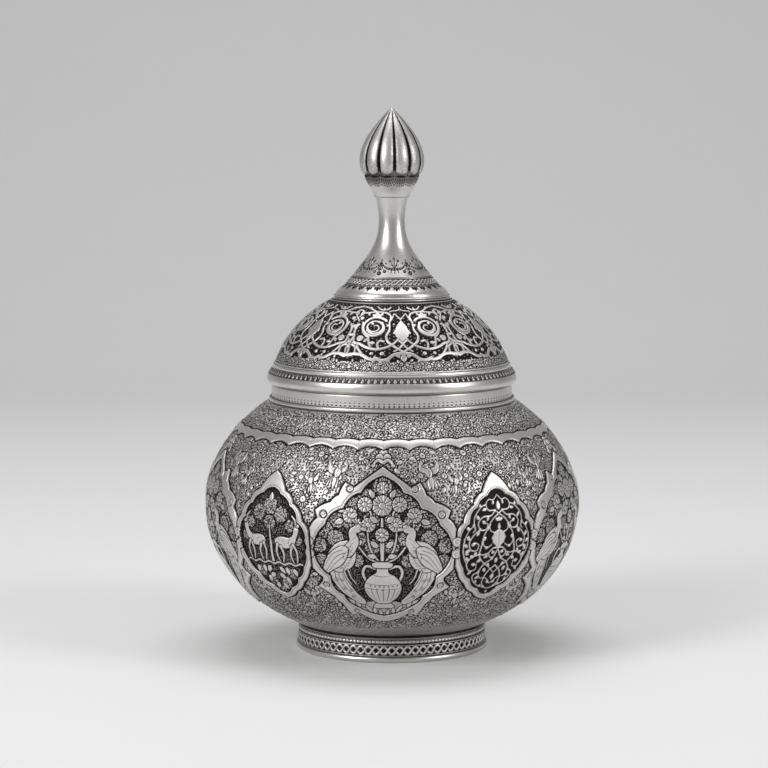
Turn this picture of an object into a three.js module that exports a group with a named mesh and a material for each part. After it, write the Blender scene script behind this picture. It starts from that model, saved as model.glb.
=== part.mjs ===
// Lidded sweet dish in chased silver: a round bowl on a ring foot, closed by a domed lid
// that carries a trumpet stem and a gadrooned bud. Millimetres, +Z up. The origin is on the
// table under the middle of the foot, and the front of the dish faces -Y.

import * as THREE from 'three';

// Sheet thicknesses and fits
const bowlSheet = 1.5;           // wall of the raised bowl and of its collar
const lidSheet = 1.3;            // wall of the dome, stem, calyx and bezel
const solderGap = 0.1;           // room round a ring that is soldered on
const seatGap = 0.2;             // from the collar's top up to the closed lid
const mouthClearance = 0.5;      // all round the bezel inside the collar
const rodClearance = 0.3;        // all round the tie rod

// Foot
const footTopRadius = 45;        // where the foot meets the belly
const footFlare = 0.3;           // how far the chased band spreads towards its lower edge
const footWireReach = 0.9;       // half-round wire that stands on the table, out past the band
const footRimHeight = 3;
const footWall = 1.8;
const footBeadHeight = 1.5;
const footBeadWidth = 1.1;
const footCoveHeight = 1.1;      // hollow between the bead and the belly
const footSeatMargin = 0.2;      // flat of the bowl's underside left inside the foot
const bellyStartHeight = 12.4;   // where the belly springs from the foot

// Bowl
const bowlRadius = 89.6;         // widest girth, without the chased frames
const girthHeight = 69;
const bowlHeight = 119.2;        // where the shoulder ends under the collar
const bowlBaseHeight = 8;        // flat underside inside the foot

// Scalloped band in relief under the shoulder
const bandLobes = 40;
const bandTurn = -2.8;           // degrees from the front to one of the points between lobes
const bandDrop = 11.1;           // from the shoulder's top down to the band's upper points
const bandWidth = 3.8;
const bandUpperRise = 0.7;       // lobes of the upper edge above its points
const bandLowerRise = 1.6;       // the same on the lower edge
const bandLift = 0.35;
const bandBevel = 0.3;
const bandMargin = 1.2;          // plain sheet drawn above and below the band

// Frames chased in relief round the belly: large ones with small ones between them
const frameLift = 0.5;
const frameBevel = 0.15;         // share of a strap's width that slopes at each of its edges
const frameMargin = 3;           // degrees of plain sheet below the large frames

// Half outlines of the frames from the top down, in degrees round the axis and up from the
// girth, and how far the frame's part of the belly reaches to each side, in columns
const largeFrame = {
  reach: 5,
  outside: [
    at(0, 25.1), at(4.9, 20.5), at(8.8, 16.7), at(11.4, 18.7), at(13.1, 13.8), at(20.2, 7.6),
    at(19.8, 4.6), at(22.1, -0.6), at(22.1, -8), at(22.1, -15.2), at(18.8, -20), at(21.3, -24.4),
    at(16.5, -29.1), at(14.4, -32.8), at(12.1, -39.6), at(8.9, -38.2), at(0, -43.5),
  ],
  inside: [
    at(0, 21.6), at(4.1, 18.2), at(6.3, 15), at(9.6, 13.3), at(11.4, 8.8), at(15.6, 6.7),
    at(16.9, 2.1), at(20, -2.6), at(20.2, -8), at(20, -13.5), at(16.3, -19.3), at(16.3, -24.4),
    at(13.1, -28.5), at(11.8, -32), at(9.5, -34.8), at(5.7, -37.4), at(0, -40),
  ],
  fillings: [[2, 0.72], [2, 0.45], [4, 0.2]],
};
const smallFrame = {
  reach: 3,
  outside: [
    at(0, 21.5), at(2.8, 18.3), at(5, 13.8), at(8.2, 9.3), at(11.8, 2.6), at(13.1, -0.6),
    at(13.1, -8), at(13.1, -15.2), at(12, -17.9), at(9.6, -23.5), at(5.6, -28.1), at(0, -32.3),
  ],
  inside: [
    at(0, 14.9), at(2, 14.1), at(3.2, 12.5), at(7.1, 8.1), at(9.9, 2.1), at(11.7, -2.6),
    at(11.9, -8), at(11.7, -13.5), at(11, -16.3), at(7.9, -21.6), at(3.8, -26.7), at(0, -30.1),
  ],
  fillings: [[2, 0.66], [2, 0.33]],
};

// Neck
const collarRadius = 57.5;
const collarHeight = 8;
const collarChamfer = 0.35;
const neckBeadHeight = 2;
const neckBeadWidth = 1.2;
const shoulderLedge = 0.5;       // flat of the shoulder left outside the neck bead

// Lid rim, bezel and bead
const rimOverhang = 2.2;         // moulding out past the collar
const rimSwell = 0.25;           // handle of the moulding's curve out past its widest
const rimFillet = 0.25;          // step in from the moulding to the chased band
const rimMouldingHeight = 5.2;
const rimBandHeight = 2.4;       // sloping chased band above the moulding
const rimBandSlope = 1.6;        // how far that band draws in
const rimUnderside = 0.4;        // flat underside out past the collar
const bezelDepth = 8;            // bezel below the lid's underside
const bezelSocket = 2.6;         // bezel let up into the rim
const lidBeadHeight = 2.3;
const lidBeadWidth = 1.2;

// Dome
const domeFootRadius = 56.3;
const domeHeight = 30.6;         // from the top of the lid bead to the finial's seat
const domeSeatRadius = 28.6;
const domeFullness = 0.45;       // how far the dome swells past a true sphere

// Finial
const baseRingRadius = 27.8;
const baseRingHeight = 1.9;
const baseRingGroove = 0.45;
const stemBaseRadius = 26.8;
const stemSkirtHeight = 4.5;     // polished convex skirt of the stem
const stemConeRadius = 22.6;     // top of the skirt
const stemWaistRadius = 6.2;
const stemWaistRise = 35.6;      // waist above the base ring
const stemTopRise = 45.9;        // calyx seat above the base ring
const stemTopRadius = 7.6;
const calyxFootRadius = 8.5;
const calyxRing = 0.4;           // polished ring at the calyx's foot, out past it
const calyxRingHeight = 1.6;
const calyxHeight = 10.6;
const calyxRadius = 13.1;
const budRadius = 15.5;
const budSwellRise = 6.9;        // widest part of the bud above the calyx
const budHeight = 31.3;          // calyx to the point, without the tip
const budLobes = 12;
const budLobeDepth = 1.7;
const budCuspRise = 2.1;         // grooves end this much above the lobes' lower ends
const budCollar = 0.4;           // plain strip between the calyx and the lobes
const budInset = 0.2;            // that strip in from the calyx's edge
const budTurn = -9.7;            // degrees from the front to the middle of the first lobe
const tipRadius = 0.6;
const tipHeight = 1.6;

// Tie rod that holds the finial on the dome
const rodRadius = 1.75;
const rodSocket = 9;             // rod up inside the bud
const rodTail = 1.6;             // rod below the nut
const washerRadius = 7;
const washerThickness = 1;
const nutWidth = 7;              // across the flats
const nutHeight = 2.8;

// Facets
const bowlFacets = 40;
const fieldColumns = 80;         // round the belly, in step with the scalloped band
const fieldRows = 8;             // from below the frames up to the band
const finialFacets = 24;
const rodFacets = 12;

// Heights and radii that follow from the sizes above
const footBandRadius = footTopRadius + footFlare;
const footRimRadius = footBandRadius + footWireReach;
const collarBore = collarRadius - bowlSheet;
const shoulderRadius = collarRadius + solderGap + neckBeadWidth + shoulderLedge;
const lidBase = bowlHeight + collarHeight + seatGap;
const bezelRadius = collarBore - mouthClearance;
const bezelBore = bezelRadius - lidSheet;
const rimRadius = collarRadius + rimOverhang;
const rimTop = lidBase + rimMouldingHeight + rimBandHeight;
const domeFoot = rimTop + lidBeadHeight;
const domeTop = domeFoot + domeHeight;
const stemFoot = domeTop + baseRingHeight;
const calyxFoot = stemFoot + stemTopRise;
const budFoot = calyxFoot + calyxHeight;
const budPoint = budFoot + budHeight;
const rodTop = budFoot + rodSocket;
const rodBore = rodRadius + rodClearance;
const nutTop = domeTop - lidSheet - washerThickness;
const rodBottom = nutTop - nutHeight - rodTail;

// Finishes
const finishes = {
  chased: { color: 0x8f8e88, roughness: 0.42, metalness: 1 },
  polished: { color: 0xc9c7c0, roughness: 0.2, metalness: 1 },
  pierced: { color: 0x6e6d69, roughness: 0.45, metalness: 1 },
  brass: { color: 0xb0a070, roughness: 0.4, metalness: 1 },
};

const dish = new THREE.Group();

function addPiece(name, geometry, finish) {
  const mesh = new THREE.Mesh(geometry, new THREE.MeshStandardMaterial(finishes[finish]));
  mesh.name = name;
  dish.add(mesh);
  return mesh;
}

function at(radius, height) {
  return new THREE.Vector2(radius, height);
}

// Turned piece: the profile runs anticlockwise in (radius, height) and stands on +Z
function turned(profile, facets) {
  return new THREE.LatheGeometry(profile, facets).rotateX(Math.PI / 2);
}

// Turned ring: as above, with the profile closed on itself
function turnedRing(profile, facets) {
  return turned([...profile, profile[0].clone()], facets);
}

// Part of an ellipse centred on the axis, between two angles above its widest part
function ellipseArc(halfWidth, halfHeight, centre, from, to, steps) {
  const points = [];
  for (let i = 0; i <= steps; i += 1) {
    const angle = from + (to - from) * (i / steps);
    points.push(at(halfWidth * Math.cos(angle), centre + halfHeight * Math.sin(angle)));
  }
  return points;
}

// Half-height of an ellipse that is at the given radius when it is this far from its middle
function halfHeightThrough(halfWidth, radius, rise) {
  return rise / Math.sqrt(1 - (radius / halfWidth) ** 2);
}

// Smooth curve between two points, drawn towards two handles
function bend(start, startHandle, endHandle, end, steps) {
  return new THREE.CubicBezierCurve(start, startHandle, endHandle, end).getPoints(steps);
}

// Half-round ring that stands on a ledge round a wall
function roundRing(bore, width, foot, height, flat, steps) {
  const bulge = [];
  for (let i = 0; i <= steps; i += 1) {
    const angle = (i / steps - 0.5) * Math.PI;
    const reach = bore + flat + (width - flat) * Math.cos(angle);
    bulge.push(at(reach, foot + (height / 2) * (1 + Math.sin(angle))));
  }
  return turnedRing([at(bore, foot), ...bulge, at(bore, foot + height)], bowlFacets);
}

// Skin over rings of points, or a single point at a pole. Neighbouring rings have the same
// count, or one has a multiple of the other's. The result lists three corners a triangle.
function skin(rings) {
  const corners = [];
  for (let j = 0; j + 1 < rings.length; j += 1) {
    const [low, high] = [rings[j], rings[j + 1]];
    const count = Math.max(low.length, high.length);
    for (let i = 0; i < count; i += 1) {
      const spot = (ring, step) => ring[Math.floor((step * ring.length) / count) % ring.length];
      const [lowHere, lowNext] = [spot(low, i), spot(low, i + 1)];
      const [highHere, highNext] = [spot(high, i), spot(high, i + 1)];
      if (lowHere !== lowNext) {
        corners.push(lowHere, lowNext, highHere);
      }
      if (highHere !== highNext) {
        corners.push(lowNext, highNext, highHere);
      }
    }
  }
  return corners;
}

function closedBody(corners) {
  const geometry = new THREE.BufferGeometry().setFromPoints(corners);
  geometry.computeVertexNormals();
  return geometry;
}

function onAxis(height) {
  return [new THREE.Vector3(0, 0, height)];
}

// Outside of the bowl: one ellipse below the girth and another above it
const lowerHalf = halfHeightThrough(bowlRadius, footTopRadius, girthHeight - bellyStartHeight);
const upperHalf = halfHeightThrough(bowlRadius, shoulderRadius, bowlHeight - girthHeight);
const footBore = footTopRadius - footWall;

function belowGirth(radius) {
  return -Math.acos(radius / bowlRadius);
}

const seatAngle = belowGirth(footBore - footSeatMargin);
const footSeat = girthHeight + lowerHalf * Math.sin(seatAngle);

// Point on the bowl's outside at an angle up from the girth, lifted off its surface
function bellyPoint(angle, lift) {
  const half = angle < 0 ? lowerHalf : upperHalf;
  const outward = at(half * Math.cos(angle), bowlRadius * Math.sin(angle)).normalize();
  const spot = at(bowlRadius * Math.cos(angle), girthHeight + half * Math.sin(angle));
  return spot.addScaledVector(outward, lift);
}

function aboveGirth(height) {
  return Math.asin((height - girthHeight) / upperHalf);
}

// Turns a point of the profile round the axis, in degrees from the front
function swung(spot, turn) {
  const angle = THREE.MathUtils.degToRad(turn);
  return new THREE.Vector3(spot.x * Math.sin(angle), -spot.x * Math.cos(angle), spot.y);
}

// Ring of points round the axis. The spot is given by where it is across its lobe, from -1 at
// one point of the band to 1 at the next.
function bowlRing(perLobe, spotAcross) {
  const count = bandLobes * perLobe;
  const ring = [];
  for (let i = 0; i < count; i += 1) {
    const spot = spotAcross(((i % perLobe) / perLobe) * 2 - 1);
    ring.push(swung(spot, bandTurn + (360 * i) / count));
  }
  return ring;
}

function plainRings(profile) {
  return profile.map((point) => bowlRing(1, () => point));
}

// Edge of the band: the height swells from its points to the middle of each lobe
function bandRing(pointHeight, rise, lift) {
  const height = (across) => pointHeight + rise * (1 - across ** 2);
  return bowlRing(4, (across) => bellyPoint(aboveGirth(height(across)), lift));
}

// Framed field of the belly: a grid of columns and rows whose cells carry the frames
const bandTop = bowlHeight - bandDrop;
const bandFoot = bandTop - bandWidth;
const columnTurn = 360 / fieldColumns;
const fieldTop = THREE.MathUtils.radToDeg(aboveGirth(bandFoot - bandMargin));
const fieldFoot = largeFrame.outside.at(-1).y - frameMargin;

function fieldSpot(column, row) {
  const up = fieldFoot + ((fieldTop - fieldFoot) * row) / fieldRows;
  const turn = bandTurn + columnTurn * ((column + fieldColumns) % fieldColumns);
  return swung(bellyPoint(THREE.MathUtils.degToRad(up), 0), turn);
}

function fieldRing(row) {
  return Array.from({ length: fieldColumns }, (_, column) => fieldSpot(column, row));
}

// Edge of one cell, anticlockwise from the middle of its top
function cellEdge(middle, reach) {
  const steps = [];
  for (let i = 0; i > -reach; i -= 1) {
    steps.push([i, fieldRows]);
  }
  for (let row = fieldRows; row > 0; row -= 1) {
    steps.push([-reach, row]);
  }
  for (let i = -reach; i < reach; i += 1) {
    steps.push([i, 0]);
  }
  for (let row = 0; row < fieldRows; row += 1) {
    steps.push([reach, row]);
  }
  for (let i = reach; i > 0; i -= 1) {
    steps.push([i, fieldRows]);
  }
  return steps.map(([i, row]) => fieldSpot(middle + i, row));
}

// Triangles between two rings that run anticlockwise from the top, always across the
// shorter diagonal. The inner ring may be a single point.
function bridge(outer, inner) {
  const corners = [];
  const outerSteps = outer.length;
  const innerSteps = inner.length > 1 ? inner.length : 0;
  let [i, j] = [0, 0];
  while (i < outerSteps || j < innerSteps) {
    const here = outer[i % outer.length];
    const across = inner[j % inner.length];
    const onward = outer[(i + 1) % outer.length];
    const acrossOnward = inner[(j + 1) % inner.length];
    const shorter = onward.distanceTo(across) <= acrossOnward.distanceTo(here);
    if (j === innerSteps || (i < outerSteps && shorter)) {
      corners.push(across, here, onward);
      i += 1;
    } else {
      corners.push(across, here, acrossOnward);
      j += 1;
    }
  }
  return corners;
}

// One cell: plain sheet, the strap of the frame in relief, and plain sheet again inside it
function frameCell(frame, middle) {
  const reach = frame.reach * columnTurn;
  const around = (half) => [
    ...half.map((point) => at(-point.x, point.y)),
    ...half.slice(1, -1).reverse(),
  ];
  const place = (flat, lift) => {
    const spot = bellyPoint(THREE.MathUtils.degToRad(flat.y), lift);
    return swung(spot, bandTurn + columnTurn * middle + flat.x);
  };
  const outside = around(frame.outside);
  const inside = around(frame.inside);
  const between = (share) => outside.map((point, i) => point.clone().lerp(inside[i], share));
  const halfway = outside.map((point) => {
    const limit = point.y > 0 ? fieldTop : fieldFoot;
    const share = Math.max(Math.abs(point.x) / reach, point.y / limit);
    return point.clone().multiplyScalar((1 + 1 / share) / 2);
  });
  const fillings = frame.fillings.map(([every, share]) => inside
    .filter((_, i) => i % every === 0)
    .map((point) => place(point.clone().multiplyScalar(share), 0)));
  const rings = [
    cellEdge(middle, frame.reach),
    halfway.map((flat) => place(flat, 0)),
    outside.map((flat) => place(flat, 0)),
    between(frameBevel).map((flat) => place(flat, frameLift)),
    between(1 - frameBevel).map((flat) => place(flat, frameLift)),
    inside.map((flat) => place(flat, 0)),
    ...fillings,
    [place(at(0, 0), 0)],
  ];
  return rings.slice(1).flatMap((ring, i) => bridge(rings[i], ring));
}

function framedField() {
  const corners = [];
  const pitch = 2 * (largeFrame.reach + smallFrame.reach);
  for (let middle = 0; middle < fieldColumns; middle += pitch) {
    corners.push(...frameCell(largeFrame, middle), ...frameCell(smallFrame, middle + pitch / 2));
  }
  return corners;
}

// Bowl: raised sheet of two ellipses that meet at the girth, outside and in
function bowlBody() {
  const flatAngle = Math.asin((bowlBaseHeight - girthHeight) / lowerHalf);
  const fieldStart = THREE.MathUtils.degToRad(fieldFoot);
  const overBand = aboveGirth(bandTop + bandUpperRise + bandMargin);
  const shoulderAngle = aboveGirth(bowlHeight);
  const belly = [
    ...ellipseArc(bowlRadius, lowerHalf, girthHeight, flatAngle, seatAngle, 2),
    at(footTopRadius, footSeat),
    bellyPoint(belowGirth(footTopRadius), 0),
    bellyPoint((belowGirth(footTopRadius) + fieldStart) / 2, 0),
  ];
  const shoulder = ellipseArc(bowlRadius, upperHalf, girthHeight, overBand, shoulderAngle, 2);
  const innerWidth = bowlRadius - bowlSheet;
  const innerLower = lowerHalf - bowlSheet;
  const innerUpper = halfHeightThrough(innerWidth, collarBore, bowlHeight - girthHeight);
  const floorAngle = Math.asin((bowlBaseHeight + bowlSheet - girthHeight) / innerLower);
  const mouthAngle = Math.asin((bowlHeight - girthHeight) / innerUpper);
  const inside = [
    ...ellipseArc(innerWidth, innerUpper, girthHeight, mouthAngle, 0, 4),
    ...ellipseArc(innerWidth, innerLower, girthHeight, 0, floorAngle, 6).slice(1),
  ];
  return closedBody([
    ...skin([onAxis(bowlBaseHeight), ...plainRings(belly), fieldRing(0)]),
    ...framedField(),
    ...skin([
      fieldRing(fieldRows),
      bandRing(bandFoot, bandLowerRise, 0),
      bandRing(bandFoot + bandBevel, bandLowerRise, bandLift),
      bandRing(bandTop - bandBevel, bandUpperRise, bandLift),
      bandRing(bandTop, bandUpperRise, 0),
      ...plainRings(shoulder),
      ...plainRings(inside),
      onAxis(bowlBaseHeight + bowlSheet),
    ]),
  ]);
}

// Foot: standing wire, chased band with a ledge for its bead, and a cove under the belly
const coveFoot = footSeat - footCoveHeight;
const footBeadFoot = coveFoot - footBeadHeight;
const coveRadius = footTopRadius - footBeadWidth + footBeadWidth / 4;

function footWire() {
  const inner = footBandRadius - footWall - solderGap;
  return roundRing(inner, footRimRadius - inner, 0, footRimHeight, footWall, 3);
}

function footRing() {
  const ledgeWall = coveRadius - solderGap;
  const profile = [
    at(footBandRadius - footWall, footRimHeight),
    at(footBandRadius, footRimHeight),
    at(footTopRadius, footBeadFoot),
    at(ledgeWall, footBeadFoot),
    at(ledgeWall, coveFoot),
    at((ledgeWall + footTopRadius) / 2 - solderGap, (coveFoot + footSeat) / 2),
    at(footTopRadius, footSeat),
    at(footBore, footSeat),
  ];
  return turnedRing(profile, bowlFacets);
}

function footBead() {
  return roundRing(coveRadius, footBeadWidth, footBeadFoot, footBeadHeight, footBeadWidth / 3, 2);
}

// Neck: upright collar with a half-round bead at its foot
function neckCollar() {
  const top = bowlHeight + collarHeight;
  const profile = [
    at(collarBore, bowlHeight),
    at(collarRadius, bowlHeight),
    at(collarRadius, top - collarChamfer),
    at(collarRadius - collarChamfer, top),
    at(collarBore, top),
  ];
  return turnedRing(profile, bowlFacets);
}

function neckBead() {
  const bore = collarRadius + solderGap;
  return roundRing(bore, neckBeadWidth, bowlHeight, neckBeadHeight, neckBeadWidth / 3, 2);
}

// Lid rim: convex moulding that overhangs the collar, with a sloping chased band above it
function lidRim() {
  const mouldingTop = lidBase + rimMouldingHeight;
  const bandFoot = rimRadius - rimOverhang / 3;
  const bandTop = bandFoot - rimBandSlope;
  const moulding = bend(
    at(collarRadius + rimUnderside, lidBase),
    at(rimRadius + rimSwell, lidBase + rimMouldingHeight * 0.2),
    at(rimRadius + rimSwell / 2, lidBase + rimMouldingHeight * 0.75),
    at(bandFoot, mouldingTop),
    4,
  );
  const socket = bezelRadius + solderGap;
  const profile = [
    at(socket, lidBase),
    ...moulding,
    at(bandFoot - rimFillet, mouldingTop + rimFillet / 2),
    at(bandTop, rimTop),
    at(bezelBore, rimTop),
    at(bezelBore, lidBase + bezelSocket),
    at(socket, lidBase + bezelSocket),
  ];
  return turnedRing(profile, bowlFacets);
}

// Bezel: upright strip that steps inside the collar and keeps the lid centred
function lidBezel() {
  const foot = lidBase - bezelDepth;
  const lead = lidSheet / 2;
  const profile = [
    at(bezelBore, foot),
    at(bezelRadius - lead, foot),
    at(bezelRadius, foot + lead),
    at(bezelRadius, lidBase + bezelSocket),
    at(bezelBore, lidBase + bezelSocket),
  ];
  return turnedRing(profile, bowlFacets);
}

// Dome: stands on the rim inside the lid bead, and is flat on top where the finial sits
const domeUpstand = bezelBore + lidSheet;

function domeArc(footRadius, footHeight, seatRadius, seatHeight, steps) {
  const rise = seatHeight - footHeight;
  const shift = (footRadius ** 2 - seatRadius ** 2) / rise;
  const centre = (footHeight + seatHeight - shift) / 2;
  const points = [];
  for (let i = 0; i <= steps; i += 1) {
    const height = footHeight + rise * Math.sin((i / steps) * (Math.PI / 2));
    const share = (height - footHeight) / rise;
    const round = Math.sqrt(footRadius ** 2 + (footHeight - centre) ** 2 - (height - centre) ** 2);
    points.push(at(round + domeFullness * Math.sin(Math.PI * share), height));
  }
  return points;
}

function lidDome() {
  const innerTop = domeTop - lidSheet;
  const outside = domeArc(domeFootRadius, domeFoot, domeSeatRadius, domeTop, 5);
  const inside = domeArc(domeUpstand - lidSheet, domeFoot, domeSeatRadius - lidSheet, innerTop, 3);
  const profile = [
    at(bezelBore, rimTop),
    at(domeUpstand, rimTop),
    at(domeUpstand, domeFoot),
    ...outside,
    at(rodBore, domeTop),
    at(rodBore, innerTop),
    ...inside.reverse(),
  ];
  return turnedRing(profile, bowlFacets);
}

function lidBead() {
  const bore = domeUpstand + solderGap;
  return roundRing(bore, lidBeadWidth, rimTop, lidBeadHeight, lidBeadWidth / 3, 2);
}

// Finial base: two fine wires side by side, drawn as one grooved ring
function finialBaseRing() {
  const middle = domeTop + baseRingHeight / 2;
  const wire = baseRingHeight / 4;
  const profile = [
    at(stemConeRadius, domeTop),
    at(baseRingRadius - baseRingGroove, domeTop),
    at(baseRingRadius, domeTop + wire),
    at(baseRingRadius - baseRingGroove, middle),
    at(baseRingRadius, middle + wire),
    at(baseRingRadius - baseRingGroove, stemFoot),
    at(stemConeRadius, stemFoot),
  ];
  return turnedRing(profile, bowlFacets);
}

// Stem: hollow trumpet with a convex skirt, a long hollow curve and a flared top
function stemProfile(inset, skirtSteps, trumpetSteps, flareSteps) {
  const skirtTop = stemFoot + stemSkirtHeight;
  const waist = stemFoot + stemWaistRise;
  const top = stemFoot + stemTopRise;
  const curve = waist - skirtTop;
  const skirt = bend(
    at(stemBaseRadius - inset, stemFoot),
    at(stemBaseRadius - inset, stemFoot + stemSkirtHeight * 0.45),
    at(stemConeRadius + stemSkirtHeight * 0.35 - inset, skirtTop - stemSkirtHeight * 0.25),
    at(stemConeRadius - inset, skirtTop),
    skirtSteps,
  );
  const trumpet = bend(
    at(stemConeRadius - inset, skirtTop),
    at(stemWaistRadius + (stemConeRadius - stemWaistRadius) * 0.24 - inset, skirtTop + curve * 0.48),
    at(stemWaistRadius - inset, skirtTop + curve * 0.64),
    at(stemWaistRadius - inset, waist),
    trumpetSteps,
  );
  const flare = bend(
    at(stemWaistRadius - inset, waist),
    at(stemWaistRadius - inset, waist + (top - waist) * 0.35),
    at(stemTopRadius - (stemTopRadius - stemWaistRadius) * 0.4 - inset, waist + (top - waist) * 0.75),
    at(stemTopRadius - inset, top),
    flareSteps,
  );
  return [...skirt, ...trumpet.slice(1), ...flare.slice(1)];
}

function finialStem() {
  const inside = stemProfile(lidSheet, 1, 4, 1).reverse();
  return turnedRing([...stemProfile(0, 3, 7, 3), ...inside], finialFacets);
}

// Calyx: shallow cup with a rounded foot, open above under the bud
function finialCalyx() {
  const flare = calyxRadius - calyxFootRadius;
  const cup = bend(
    at(calyxFootRadius + calyxRing, calyxFoot + calyxRingHeight),
    at(calyxFootRadius + flare * 0.45, calyxFoot + calyxHeight * 0.4),
    at(calyxRadius - flare * 0.07, calyxFoot + calyxHeight * 0.7),
    at(calyxRadius, budFoot),
    3,
  );
  const floor = calyxFoot + lidSheet;
  const profile = [
    at(rodBore, calyxFoot),
    at(calyxFootRadius, calyxFoot),
    at(calyxFootRadius + calyxRing, calyxFoot + calyxRingHeight * 0.3),
    ...cup,
    at(calyxRadius - lidSheet, budFoot),
    at(calyxRadius - lidSheet * 1.4, calyxFoot + calyxHeight * 0.7),
    at(calyxFootRadius - lidSheet / 2, floor),
    at(rodBore, floor),
  ];
  return turnedRing(profile, finialFacets);
}

// Bud: plump lobes that end in round tongues below and draw together at the point.
// Across a lobe, "side" runs from -1 in one groove to 1 in the next.
function finialBud() {
  const lobeSides = [-1, -0.65, 0, 0.65];
  const lobeAngle = (2 * Math.PI) / budLobes;
  const spots = [];
  for (let lobe = 0; lobe < budLobes; lobe += 1) {
    for (const side of lobeSides) {
      const angle = THREE.MathUtils.degToRad(budTurn) + lobeAngle * (lobe + side / 2);
      spots.push({ side, angle });
    }
  }
  const ring = (radius, height, depth, cusp) => spots.map(({ side, angle }) => {
    const reach = radius - depth * (1 - Math.sqrt(1 - side * side));
    return new THREE.Vector3(
      reach * Math.sin(angle),
      -reach * Math.cos(angle),
      height + cusp * side * side,
    );
  });
  const core = calyxRadius - budInset;
  const swell = budFoot + budSwellRise;
  const rings = [onAxis(rodTop), ring(rodBore, rodTop, 0, 0), ring(rodBore, budFoot, 0, 0)];
  rings.push(ring(core, budFoot, 0, 0), ring(core, budFoot + budCollar, 0, budCuspRise));
  // Round lower ends of the lobes
  const roundSteps = 3;
  for (let i = 1; i <= roundSteps; i += 1) {
    const angle = (i / roundSteps) * (Math.PI / 2);
    const radius = core + (budRadius - core) * Math.sin(angle);
    const height = swell - (budSwellRise - budCollar) * Math.cos(angle);
    const share = (swell - height) / budSwellRise;
    rings.push(ring(radius, height, budLobeDepth * Math.sin(angle), budCuspRise * share));
  }
  // Long taper to the point
  const taper = bend(
    at(budRadius, swell),
    at(budRadius, swell + (budPoint - swell) * 0.3),
    at(budRadius * 0.66, swell + (budPoint - swell) * 0.63),
    at(tipRadius * 1.6, budPoint),
    5,
  );
  for (const point of taper.slice(1)) {
    rings.push(ring(point.x, point.y, budLobeDepth * (point.x / budRadius), 0));
  }
  // Small plain tip
  rings.push(ring(tipRadius, budPoint + tipHeight * 0.12, 0, 0));
  rings.push(ring(tipRadius * 0.7, budPoint + tipHeight * 0.94, 0, 0));
  rings.push(onAxis(budPoint + tipHeight));
  return closedBody(skin(rings));
}

// Tie rod, washer and nut under the dome
function finialRod() {
  const rod = new THREE.CylinderGeometry(rodRadius, rodRadius, rodTop - rodBottom, rodFacets);
  return rod.rotateX(Math.PI / 2).translate(0, 0, (rodTop + rodBottom) / 2);
}

function finialWasher() {
  const foot = nutTop;
  const profile = [
    at(rodBore, foot),
    at(washerRadius, foot),
    at(washerRadius, foot + washerThickness),
    at(rodBore, foot + washerThickness),
  ];
  return turnedRing(profile, finialFacets);
}

function finialNut() {
  const corner = nutWidth / 2 / Math.cos(Math.PI / 6);
  const outline = new THREE.Shape();
  for (let i = 0; i < 6; i += 1) {
    const angle = (i * Math.PI) / 3;
    const x = corner * Math.cos(angle);
    const y = corner * Math.sin(angle);
    if (i === 0) {
      outline.moveTo(x, y);
    } else {
      outline.lineTo(x, y);
    }
  }
  outline.closePath();
  outline.holes.push(new THREE.Path().absarc(0, 0, rodRadius + solderGap, 0, 2 * Math.PI, true));
  const solid = { depth: nutHeight, bevelEnabled: false, curveSegments: rodFacets };
  return new THREE.ExtrudeGeometry(outline, solid).translate(0, 0, nutTop - nutHeight);
}

addPiece('foot_wire', footWire(), 'polished');
addPiece('foot_ring', footRing(), 'chased');
addPiece('foot_bead', footBead(), 'polished');
addPiece('bowl_body', bowlBody(), 'chased');
addPiece('neck_bead', neckBead(), 'polished');
addPiece('neck_collar', neckCollar(), 'polished');
addPiece('lid_bezel', lidBezel(), 'polished');
addPiece('lid_rim', lidRim(), 'polished');
addPiece('lid_bead', lidBead(), 'polished');
addPiece('lid_dome', lidDome(), 'pierced');
addPiece('finial_base_ring', finialBaseRing(), 'polished');
addPiece('finial_stem', finialStem(), 'polished');
addPiece('finial_calyx', finialCalyx(), 'polished');
addPiece('finial_bud', finialBud(), 'polished');
addPiece('finial_rod', finialRod(), 'brass');
addPiece('finial_washer', finialWasher(), 'brass');
addPiece('finial_nut', finialNut(), 'brass');

export default dish;
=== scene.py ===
# Lidded sweet dish in chased silver: the looks. Lengths are in millimetres until a mesh is made.
import math
import bpy
import numpy as np
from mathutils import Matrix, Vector


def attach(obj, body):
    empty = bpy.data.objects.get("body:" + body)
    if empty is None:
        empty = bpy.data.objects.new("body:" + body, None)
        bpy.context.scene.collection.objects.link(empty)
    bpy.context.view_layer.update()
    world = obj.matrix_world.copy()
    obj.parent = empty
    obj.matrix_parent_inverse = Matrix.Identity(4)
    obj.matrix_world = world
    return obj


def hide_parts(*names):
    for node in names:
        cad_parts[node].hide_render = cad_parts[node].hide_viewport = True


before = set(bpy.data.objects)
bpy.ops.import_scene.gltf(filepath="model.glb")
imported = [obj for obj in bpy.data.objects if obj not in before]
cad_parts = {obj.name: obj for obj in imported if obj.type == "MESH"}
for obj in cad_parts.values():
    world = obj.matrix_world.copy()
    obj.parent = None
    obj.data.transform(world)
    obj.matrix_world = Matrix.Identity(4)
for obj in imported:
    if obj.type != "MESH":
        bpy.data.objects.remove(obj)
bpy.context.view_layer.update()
RNG = np.random.default_rng(7)
DOT_RNG = np.random.default_rng(11)

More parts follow.
